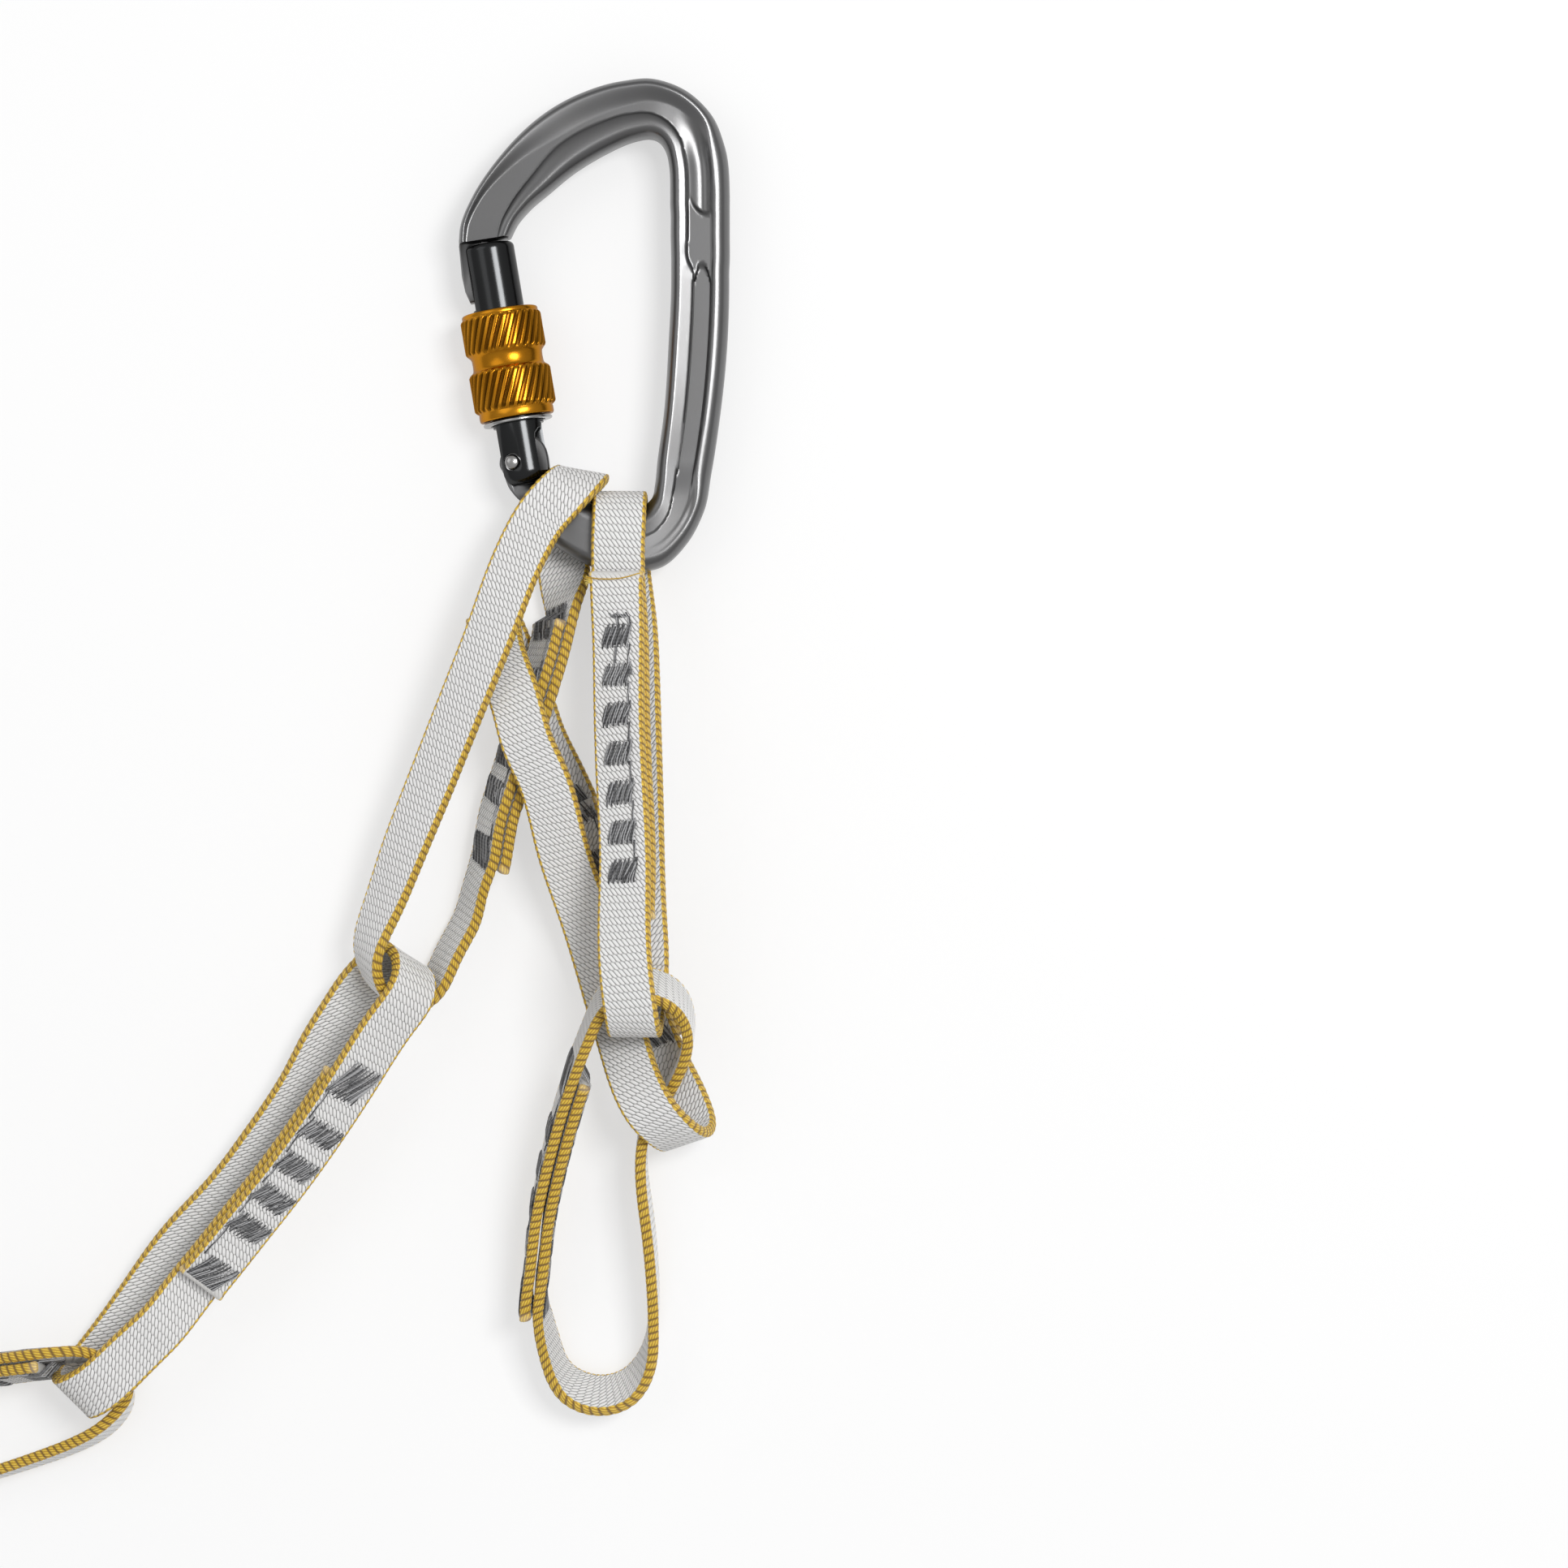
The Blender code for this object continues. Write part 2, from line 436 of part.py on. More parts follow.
def smooth_stations(stations, longest):
    """Put extra stations between the measured ones, on a curve whose pace follows their distance."""
    table = np.array([[*inner, *outer, *rest] for inner, outer, *rest in stations])
    middle = (table[:, 0:2] + table[:, 2:4]) / 2
    gap = np.linalg.norm(np.diff(middle, axis=0), axis=1)[:, None]
    slope = np.diff(table, axis=0) / gap
    inside = (slope[:-1] * gap[1:] + slope[1:] * gap[:-1]) / (gap[:-1] + gap[1:])
    tangent = np.concatenate([slope[:1], inside, slope[-1:]])
    out = []
    for i, h in enumerate(gap[:, 0]):
        count = math.ceil(h / longest)
        for s in np.arange(count) / count:
            out.append((1 + 2 * s) * (1 - s) ** 2 * table[i] + s * s * (3 - 2 * s) * table[i + 1]
                       + s * (1 - s) * h * ((1 - s) * tangent[i] - s * tangent[i + 1]))
    out.append(table[-1])
    return out


def body_ring(station):
    """One section of the body: a ridge along each edge, and a floor that may be sunk again."""
    inner, outer, half = station[:2], station[2:4], station[4]
    crest_in, foot_in, foot_out, crest_out = station[5:9]
    depth, dish = np.maximum(station[9:11], 0)
    rim = DISH_RIM * (foot_out - foot_in)
    section = [(crest_in * share, height * half) for share, height in EDGE_ROUND]
    section += [((crest_in + foot_in) / 2, half - depth / 2), (foot_in, half - depth),
                (foot_in + rim, half - depth - dish), (foot_out - rim, half - depth - dish),
                (foot_out, half - depth), ((foot_out + crest_out) / 2, half - depth / 2)]
    section += [(1 - (1 - crest_out) * share, height * half) for share, height in EDGE_ROUND[::-1]]
    top = [(*(inner + (outer - inner) * share), height) for share, height in section]
    return top + [(x, y, -z) for x, y, z in reversed(top)]


def make_body():
    """The forged body: nose with its locking tongue, spine, basket and the tang in the gate."""
    parent = bpy.data.objects.new("carabiner_middle", None)
    bpy.context.collection.objects.link(parent)
    parent.location = plan((0, 0))
    rings = [body_ring(s) for s in smooth_stations(BODY_STATIONS, BODY_STEP)]
    body = loft("carabiner_body", rings, "aluminium", parent)
    tongue = prism("nose_tongue_form", TONGUE_OUTLINE, -TONGUE_HALF_THICKNESS,
                   TONGUE_HALF_THICKNESS, "aluminium", parent)
    lean = Matrix.Rotation(math.radians(GATE_LEAN_DEG), 2)
    outline = []
    for point in TANG_OUTLINE:
        outline.append(lean @ Vector(point) + Vector(RIVET_PLAN))
    tang = prism("hinge_tang_form", outline, -TANG_HALF_THICKNESS, TANG_HALF_THICKNESS,
                 "aluminium", parent)
    hole = turned_pin("rivet_hole_form", RIVET_RADIUS + 0.3, 8.0, parent, RIVET_PLAN)
    boolean(body, tongue, "UNION")
    boolean(body, tang, "UNION")
    boolean(body, hole, "DIFFERENCE")


def turned_pin(name, radius, half_length, parent, centre=(0, 0), dome=0.0, look="steel", sides=16):
    """A pin along Z, with an optional dome on each end."""
    levels = [(-half_length, radius * 0.6 if dome else radius), (-half_length + dome, radius),
              (half_length - dome, radius), (half_length, radius * 0.6 if dome else radius)]
    if not dome:
        levels = [levels[0], levels[-1]]
    rings = [[(centre[0] + r * math.cos(2 * math.pi * j / sides),
               centre[1] + r * math.sin(2 * math.pi * j / sides), z) for j in range(sides)]
             for z, r in levels]
    return loft(name, rings, look, parent)


def make_gate():
    """The gate's barrel with its slots and bore, and the rivet, plunger and spring in it."""
    hinge = bpy.data.objects.new("gate_hinge", None)
    bpy.context.collection.objects.link(hinge)
    hinge.location = plan(RIVET_PLAN)
    hinge.rotation_euler = (0, 0, math.radians(GATE_LEAN_DEG))
    radius, top, bottom = BARREL_RADIUS, BARREL_TOP, BARREL_BOTTOM
    barrel = turned("gate_barrel", [(3.0, bottom), (4.3, bottom + 0.5), (5.0, bottom + 1.3),
                                    (radius, bottom + 2.4), (radius, top - 0.9),
                                    (radius - 0.9, top)], BARREL_AXIS_X, "gunmetal", hinge)
    half_slot = TANG_HALF_THICKNESS + SLOT_CLEARANCE
    slot = prism("hinge_slot_form", [(-9, -9), (12, -9), (12, 7.4), (-9, 7.4)],
                 -half_slot, half_slot, "steel", hinge)
    half_nose = TONGUE_HALF_THICKNESS + SLOT_CLEARANCE
    nose = prism("nose_slot_form", [(-9, 31.4), (1.6, 32.2), (1.6, 50), (-9, 50)],
                 -half_nose, half_nose, "steel", hinge)
    bore = turned("spring_bore_form", [(PLUNGER_RADIUS + 0.4, 6.0),
                                       (PLUNGER_RADIUS + 0.4, SPRING_TOP + 0.4)],
                  PLUNGER_X, "steel", hinge, sides=16)
    hole = turned_pin("hinge_hole_form", RIVET_RADIUS + 0.3, 8.0, hinge)
    notch = prism("tang_notch_form", NOTCH_OUTLINE, -BARREL_RADIUS - 1, BARREL_RADIUS + 1, "steel",
                  hinge)
    for tool in (slot, nose, bore, hole, notch):
        boolean(barrel, tool, "DIFFERENCE")
    turned_pin("hinge_rivet", RIVET_RADIUS, 4.85, hinge, dome=0.3)
    tip, length = PLUNGER_TIP, PLUNGER_LENGTH
    turned("gate_plunger", [(1.3, tip), (PLUNGER_RADIUS, tip + 0.5), (PLUNGER_RADIUS, tip + length)],
           PLUNGER_X, "steel", hinge, sides=16)
    make_spring(hinge)
    return hinge


def make_spring(parent):
    """The closing spring, between the plunger and the end of its bore."""
    start = PLUNGER_TIP + PLUNGER_LENGTH + 0.35 + SPRING_WIRE_RADIUS
    end = SPRING_TOP - SPRING_WIRE_RADIUS
    points_per_turn, sides = 9, 4
    count = SPRING_TURNS * points_per_turn + 1
    turn = np.linspace(0, SPRING_TURNS * 2 * math.pi, count)
    level = np.linspace(start, end, count)
    rings = []
    for angle, y in zip(turn, level):
        out = np.array((math.cos(angle), 0, math.sin(angle)))
        middle = np.array((PLUNGER_X, y, 0)) + SPRING_RADIUS * out
        rings.append([middle + SPRING_WIRE_RADIUS * (math.cos(a) * out + math.sin(a) * np.array((0, 1, 0)))
                      for a in np.arange(sides) * 2 * math.pi / sides])
    loft("gate_spring", rings, "steel", parent)


def sleeve_ring_points(radius, y, depth, shift):
    """One ring of the sleeve: every other point lies in a groove; shift turns it by some points."""
    count = 2 * KNURL_GROOVES
    ring = []
    for j in range(count):
        r = radius - depth * (j % 2)
        angle = 2 * math.pi * (j + shift) / count
        ring.append((BARREL_AXIS_X + r * math.sin(angle), y, r * math.cos(angle)))
    return ring


def make_sleeve(hinge):
    """The screw sleeve with its two bands of slanted grooves, and the ring under it."""
    band = 3.5
    rows = [(7.3, 8.95, 0, 0), (7.65, 9.3, 0, 0), (7.65, 10.5, 0, 0), (7.95, 10.9, KNURL_DEPTH, 0),
            (8.4, 11.5, KNURL_DEPTH, 0.3), (8.4, 18.4, KNURL_DEPTH, band - 0.3),
            (7.95, 19.0, KNURL_DEPTH, band), (7.3, 19.4, 0, band), (7.3, 22.3, 0, band),
            (7.85, 22.7, KNURL_DEPTH, band), (8.3, 23.3, KNURL_DEPTH, band + 0.3),
            (8.3, 29.6, KNURL_DEPTH, 2 * band - 0.3), (7.9, 30.2, KNURL_DEPTH, 2 * band),
            (7.85, 30.5, 0, 2 * band), (7.6, 31.15, 0, 2 * band)]
    bore = [(SLEEVE_COUNTERBORE, 31.15), (SLEEVE_COUNTERBORE, 18.6), (SLEEVE_BORE, 17.6),
            (SLEEVE_BORE, SLEEVE_BOTTOM)]
    rings = [sleeve_ring_points(*row) for row in rows]
    turned_by = int(2 * band)
    inner = [sleeve_ring_points(r, y, 0, turned_by) for r, y in bore]
    loft("locking_sleeve", rings + inner, "orange", hinge, closed=True, turn=turned_by)
    ring_rows = [(SLEEVE_BORE, RING_BOTTOM), (7.1, RING_BOTTOM), (7.1, RING_TOP), (SLEEVE_BORE, RING_TOP)]
    sides = 32
    rings = [[(BARREL_AXIS_X + r * math.sin(2 * math.pi * j / sides), y,
               r * math.cos(2 * math.pi * j / sides)) for j in range(sides)] for r, y in ring_rows]
    loft("sleeve_ring", rings, "steel", hinge, closed=True)


def main():
    """Build the whole chain."""
    clear_scene()
    make_body()
    hinge = make_gate()
    make_sleeve(hinge)
    make_loops()


main()
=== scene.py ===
"""A personal anchor chain on a pale table: six sewn webbing loops and a screw-gate carabiner.

Every size is in millimetres until a mesh is made. Plan positions are measured from the middle of
the view, +X right and +Y towards the carabiner's top. PLAN_CENTRE moves them to the model's origin.
"""

import logging
import math
from dataclasses import dataclass, field
from enum import Enum
from typing import Callable, Union

import bmesh
import bpy
import numpy as np
from mathutils import Matrix, Vector


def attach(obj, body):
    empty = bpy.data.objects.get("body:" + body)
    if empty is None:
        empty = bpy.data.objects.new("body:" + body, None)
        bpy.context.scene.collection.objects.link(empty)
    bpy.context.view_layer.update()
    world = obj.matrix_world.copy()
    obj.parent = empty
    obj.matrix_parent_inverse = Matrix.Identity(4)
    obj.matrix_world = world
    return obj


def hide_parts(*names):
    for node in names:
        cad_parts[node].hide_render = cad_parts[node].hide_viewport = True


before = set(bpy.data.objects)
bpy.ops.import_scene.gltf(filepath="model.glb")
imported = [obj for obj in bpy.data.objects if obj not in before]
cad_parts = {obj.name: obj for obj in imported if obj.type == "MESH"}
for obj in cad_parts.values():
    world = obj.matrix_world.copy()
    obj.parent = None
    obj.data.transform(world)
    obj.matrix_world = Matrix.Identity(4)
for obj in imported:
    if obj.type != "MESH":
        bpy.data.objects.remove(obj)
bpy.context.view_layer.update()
LOG = logging.getLogger("anchor_chain")
MM = 0.001
PLAN_CENTRE = np.array((-127.9, -2.1, 0.0))
Value = Union["Signal", float]

# Routes of the six loops: x, y and height of the webbing's middle, then the compass direction and
# the rise of its width, in degrees. Each starts at the cut end of the outer layer.
LOOP_1 = [
    (-34.0, 42.8, 17.9, 0, 7), (-33.6, 30.6, 18.2, 0, 16), (-33.4, 17.3, 19.6, 0, 22),
    (-32.8, 1.0, 22.0, 0, 22), (-32.0, -15.4, 24.6, 0, 20), (-32.1, -30.0, 27.8, 0, 15),
    (-31.4, -40.5, 29.7, 0, 11), (-30.5, -47.4, 27.9, 0, 9), (-30.1, -50.0, 22.2, 0, 9),
    (-29.7, -47.8, 16.8, 0, 9), (-28.9, -39.4, 15.7, 0, 9), (-29.2, -27.1, 14.9, 0, 13),
    (-29.8, -5.6, 11.4, 0, 20), (-30.6, 19.3, 8.0, 0, 20), (-31.7, 34.4, 4.4, 0, 11),
    (-33.0, 44.0, 1.8, 0, 2), (-33.4, 52.9, 1.7, 0, 1), (-33.5, 57.5, 3.6, 0, 1),
    (-33.5, 58.9, 8.4, 0, 1), (-33.5, 57.6, 13.2, 0, 1), (-33.6, 53.4, 16.0, 0, 2),
    (-33.9, 48.0, 17.4, 0, 4),
]
LOOP_2 = [
    (-52.4, -108.5, 7.6, -90, 60), (-52.0, -98.7, 8.7, -90, 60), (-50.8, -88.6, 10.0, -90, 60),
    (-48.0, -75.2, 12.4, -90, 60), (-44.4, -62.6, 14.8, -90, 60), (-39.1, -48.7, 18.6, -90, 60),
    (-35.5, -42.7, 20.9, -90, 60), (-30.5, -40.5, 22.9, -90, 60), (-25.2, -41.1, 23.3, -88, 60),
    (-21.0, -44.3, 21.0, -92, 62), (-19.3, -50.0, 18.0, -95, 68), (-20.8, -57.1, 15.0, -100, 76),
    (-24.5, -64.0, 11.6, -100, 82), (-28.3, -70.4, 9.1, -90, 80), (-29.2, -78.8, 8.7, -90, 74),
    (-28.1, -88.8, 8.4, -90, 66), (-27.0, -100.5, 7.4, -90, 60), (-26.8, -109.8, 6.2, -90, 56),
    (-28.2, -118.4, 5.7, -90, 55), (-32.4, -124.1, 5.5, -90, 55), (-38.4, -125.6, 5.5, -90, 55),
    (-44.4, -123.1, 5.6, -90, 55), (-48.2, -117.3, 6.2, -90, 56),
]
LOOP_3 = [
    (-25.7, -52.8, 4.0, 20, 18), (-28.6, -45.8, 4.0, 20, 17), (-32.9, -34.1, 3.7, 20, 15),
    (-38.0, -19.1, 3.3, 20, 12), (-43.0, -5.7, 2.9, 20, 8), (-47.4, 3.5, 2.4, 20, 5),
    (-50.6, 10.2, 2.2, 20, 3), (-52.7, 16.4, 2.1, 20, 3), (-55.6, 23.4, 2.0, 20, 4),
    (-58.1, 30.1, 2.1, 20, 6), (-59.6, 33.6, 3.8, 20, 8), (-60.0, 34.6, 6.6, 20, 9),
    (-59.4, 33.4, 9.8, 20, 10), (-58.6, 29.2, 12.0, 20, 12), (-56.8, 23.1, 15.0, 20, 14),
    (-54.3, 16.5, 18.0, 20, 14), (-52.0, 8.4, 18.9, 20, 15), (-49.2, 2.1, 18.2, 20, 15),
    (-45.0, -13.4, 14.2, 20, 14), (-41.1, -25.5, 11.2, 20, 14), (-37.5, -37.2, 10.1, 20, 14),
    (-34.8, -46.4, 11.2, 20, 15), (-32.7, -52.9, 13.8, 20, 17), (-30.3, -59.9, 17.4, 20, 18),
    (-26.8, -66.4, 19.3, 20, 18), (-22.8, -70.8, 16.8, 20, 18), (-19.9, -72.5, 10.8, 20, 18),
    (-19.1, -70.4, 5.6, 20, 18), (-21.4, -63.9, 3.5, 20, 18),
]
LOOP_4 = [
    (-59.3, -16.7, 6.8, -23, 63), (-57.7, -8.5, 7.8, -23, 63), (-55.7, -1.5, 8.8, -23, 63),
    (-52.8, 7.5, 9.4, -23, 63), (-49.5, 18.4, 9.4, -23, 63), (-46.9, 27.6, 8.6, -23, 62),
    (-45.2, 36.3, 6.8, -23, 56), (-45.2, 42.2, 3.9, -23, 28), (-45.8, 48.4, 1.7, -23, 3),
    (-45.2, 56.3, 1.7, -22, 1), (-43.3, 61.7, 3.6, -14, 2), (-41.3, 63.3, 8.3, -10, 3),
    (-42.8, 61.7, 13.0, -18, 5), (-45.3, 59.1, 15.0, -25, 7), (-48.7, 55.3, 15.2, -27, 10),
    (-52.0, 49.8, 16.1, -27, 15), (-55.5, 41.8, 17.6, -25, 19), (-58.7, 32.9, 18.6, -23, 22),
    (-65.7, 15.3, 17.6, -23, 26), (-71.7, 0.5, 16.0, -23, 28), (-77.6, -14.2, 15.2, -23, 34),
    (-82.1, -26.1, 14.8, -26, 46), (-84.7, -35.0, 14.6, -32, 57), (-83.6, -40.2, 12.3, -35, 60),
    (-80.5, -43.7, 9.6, -35, 60), (-76.3, -44.3, 7.1, -34, 61), (-72.3, -41.5, 6.1, -30, 62),
    (-69.4, -36.0, 5.9, -25, 63), (-65.9, -29.3, 5.8, -23, 63), (-62.5, -22.8, 6.0, -23, 63),
]
LOOP_5 = [
    (-118.6, -101.6, 16.0, 144, 25), (-109.5, -90.4, 16.0, 144, 28), (-101.4, -80.2, 16.0, 144, 30),
    (-94.5, -70.6, 16.0, 144, 30), (-86.6, -58.6, 16.0, 144, 30), (-79.5, -47.8, 16.2, 144, 30),
    (-75.6, -41.6, 15.7, 144, 30), (-76.0, -37.2, 12.7, 144, 30), (-79.0, -35.3, 9.4, 144, 30),
    (-82.4, -37.0, 5.4, 144, 30), (-86.7, -41.4, 3.9, 144, 30), (-90.6, -47.1, 3.9, 144, 30),
    (-94.6, -53.6, 3.9, 144, 30), (-98.6, -61.3, 3.9, 144, 30), (-106.8, -73.8, 3.9, 144, 30),
    (-114.8, -84.4, 3.8, 144, 28), (-123.0, -93.3, 3.5, 144, 25), (-131.1, -104.5, 2.8, 142, 16),
    (-138.6, -115.1, 2.4, 138, 10), (-142.3, -119.8, 2.3, 136, 8), (-145.2, -123.4, 4.2, 134, 8),
    (-145.5, -124.4, 9.0, 134, 8), (-144.0, -124.8, 13.8, 134, 8), (-140.3, -123.0, 16.1, 136, 9),
    (-133.7, -117.1, 16.4, 138, 13), (-126.6, -110.2, 16.2, 142, 21),
]
LOOP_6 = [
    (-201.1, -120.4, 5.7, 90, 76), (-189.4, -119.4, 5.7, 90, 75), (-179.4, -119.2, 5.7, 90, 74),
    (-169.3, -119.2, 6.7, 90, 74), (-157.2, -118.0, 10.4, 90, 74), (-147.8, -116.6, 12.3, 90, 75),
    (-141.7, -116.9, 11.0, 70, 77), (-136.7, -119.6, 9.4, 20, 79), (-134.5, -124.7, 8.4, 60, 77),
    (-137.7, -130.7, 8.2, 86, 77), (-144.2, -135.0, 7.2, 90, 78), (-154.4, -139.0, 5.9, 90, 79),
    (-164.4, -142.1, 5.7, 90, 80), (-176.1, -144.4, 5.7, 90, 80), (-189.4, -146.1, 5.7, 90, 80),
    (-204.4, -146.6, 5.7, 90, 80), (-222.8, -145.1, 5.7, 90, 80), (-234.5, -142.1, 5.7, 90, 80),
    (-242.3, -136.1, 5.7, 90, 80), (-243.1, -128.7, 5.7, 90, 80), (-236.5, -123.4, 5.7, 90, 79),
    (-226.1, -121.7, 5.7, 90, 78), (-212.8, -121.1, 5.7, 90, 77),
]

# Carabiner body from the nose round to the hinge: a point on the inner edge and one on the outer
# edge, half the thickness, the shares across it of the inner ridge's crest, the foot of its wall,
# the foot of the outer ridge's wall and that ridge's crest, then the depth of the floor between
# them and of the scoop or panel that is sunk into it. SPINE, PANEL and BASKET are runs of
# values that neighbouring stations share
SPINE = (5.0, 0.16, 0.31, 0.69, 0.74, 1.5)
PANEL = (5.0, 0.16, 0.385, 0.69, 0.74, 1.5)
BASKET = (0.30, 0.50, 0.66, 0.80, 0.0, 0.0)
BODY_STATIONS = [
    ((-56.0, 111.8), (-66.6, 110.2), 4.5, 0.13, 0.25, 0.84, 0.90, 0.6, 0.0),
    ((-54.6, 114.6), (-66.2, 114.2), 4.7, 0.14, 0.28, 0.84, 0.91, 1.0, 0.0),
    ((-52.3, 117.4), (-63.9, 119.8), 4.9, 0.15, 0.32, 0.82, 0.91, 1.3, 0.0),
    ((-48.1, 121.0), (-57.5, 129.1), 5.0, 0.17, 0.38, 0.70, 0.90, 1.4, 0.0),
    ((-42.5, 125.5), (-49.5, 136.8), 5.0, 0.20, 0.46, 0.56, 0.88, 1.4, 0.0),
    ((-36.5, 129.1), (-41.5, 141.3), 5.0, 0.21, 0.45, 0.55, 0.87, 1.4, 0.0),
    ((-30.9, 131.6), (-32.9, 143.8), 5.0, 0.20, 0.43, 0.56, 0.86, 1.4, 0.0),
    ((-27.6, 132.2), (-26.5, 144.2), 5.0, 0.19, 0.40, 0.60, 0.85, 1.4, 0.0),
    ((-25.6, 131.5), (-20.1, 141.9), 5.0, 0.18, 0.36, 0.64, 0.84, 1.5, 0.2),
    ((-24.2, 129.5), (-14.9, 137.1), 5.0, 0.17, 0.33, 0.68, 0.83, 1.5, 0.8),
    ((-23.5, 126.3), (-12.1, 130.5), *SPINE, 1.25),
    ((-23.3, 120.5), (-11.1, 120.8), *SPINE, 1.25),
    ((-23.3, 118.3), (-11.1, 118.3), *SPINE, 1.1),
    ((-23.2, 116.5), (-11.1, 116.5), *SPINE, 0.0),
    ((-23.2, 112.2), (-11.1, 112.2), *SPINE, 0.0),
    ((-23.1, 107.0), (-11.1, 107.0), *SPINE, 0.0),
    ((-23.1, 105.0), (-11.2, 105.0), *PANEL, 0.75),
    ((-23.1, 102.1), (-11.2, 102.1), *PANEL, 0.75),
    ((-23.6, 90.6), (-11.6, 90.0), *PANEL, 0.75),
    ((-24.6, 75.7), (-13.2, 74.4), *PANEL, 0.75),
    ((-25.9, 66.1), (-14.9, 63.4), 5.0, 0.18, 0.385, 0.68, 0.74, 1.4, 0.4),
    ((-26.4, 61.3), (-16.4, 55.8), 5.0, 0.20, 0.38, 0.68, 0.81, 1.1, 0.0),
    ((-27.1, 58.4), (-19.6, 49.6), 5.0, 0.24, 0.44, 0.66, 0.80, 0.8, 0.0),
    ((-29.2, 56.9), (-24.2, 44.9), 5.0, 0.28, 0.48, 0.66, 0.80, 0.5, 0.0),
    ((-33.2, 56.7), (-30.0, 43.4), 5.0, 0.30, 0.50, 0.66, 0.80, 0.2, 0.0),
    ((-38.3, 57.0), (-38.3, 44.2), 5.0, *BASKET),
    ((-42.8, 58.9), (-44.5, 47.2), 5.0, *BASKET),
    ((-46.2, 61.2), (-50.1, 51.5), 4.8, *BASKET),
    ((-48.7, 62.0), (-53.4, 56.0), 3.6, *BASKET),
]
TONGUE_OUTLINE = [(-66.2, 113.6), (-66.5, 109.9), (-65.9, 103.8), (-65.2, 100.6), (-64.2, 98.4),
                  (-61.4, 98.8), (-61.9, 110.6), (-61.9, 113.6)]
TANG_OUTLINE = [(-2.0, 2.0), (-2.8, 0.0), (-2.3, -1.9), (-1.5, -5.4), (1.0, -8.4), (5.2, -7.0),
                (7.0, -3.0), (7.1, 1.8), (5.4, 4.5), (3.0, 4.7), (0.0, 2.8)]
NOTCH_OUTLINE = [(5.3, -2.6), (12.0, -2.6), (12.0, 6.6), (7.6, 6.6), (6.3, 6.2), (5.5, 5.3),
                 (5.3, 4.4)]
# The gate's rivet in plan, the height of the body's middle plane, and how far the gate leans
RIVET = (-55.4, 65.7)
MID_HEIGHT = 8.4
GATE_LEAN = math.radians(9.6)


# Node maths

def maths(operation: str, turned: bool = False) -> Callable[..., "Signal"]:
    """Make a method that adds a Math node.

    Args:
        operation: The node's operation.
        turned: Whether the signal itself comes last, as on the right of a minus.

    Returns:
        The method.
    """
    def method(self: "Signal", *others: Value) -> "Signal":
        """Work the operation out on this value and the others."""
        return self.graph.math(operation, *((*others, self) if turned else (self, *others)))
    return method


class Signal:
    """A socket of a node tree that takes part in arithmetic."""

    __add__ = __radd__ = maths("ADD")
    __sub__ = maths("SUBTRACT")
    __rsub__ = maths("SUBTRACT", turned=True)
    __mul__ = __rmul__ = maths("MULTIPLY")
    __truediv__ = maths("DIVIDE")
    __rtruediv__ = maths("DIVIDE", turned=True)
    __pow__ = maths("POWER")
    __abs__ = maths("ABSOLUTE")
    fract, floor, sign, sine = map(maths, ("FRACT", "FLOOR", "SIGN", "SINE"))
    at_least, at_most = map(maths, ("MAXIMUM", "MINIMUM"))

    def __init__(self, graph: "Graph", socket: bpy.types.NodeSocket) -> None:
        """Wrap one output socket."""
        self.graph = graph
        self.socket = socket

    def zigzag(self) -> "Signal":
        """Fall from 1 to 0 and rise back between one whole number and the next."""
        return abs(self.fract() * 2 - 1)

    def step(self, low: float, high: float) -> "Signal":
        """Rise smoothly from 0 at low to 1 at high."""
        return self.graph.signal("ShaderNodeMapRange",
                                 {"Value": self, "From Min": low, "From Max": high},
                                 "Result", interpolation_type="SMOOTHSTEP")


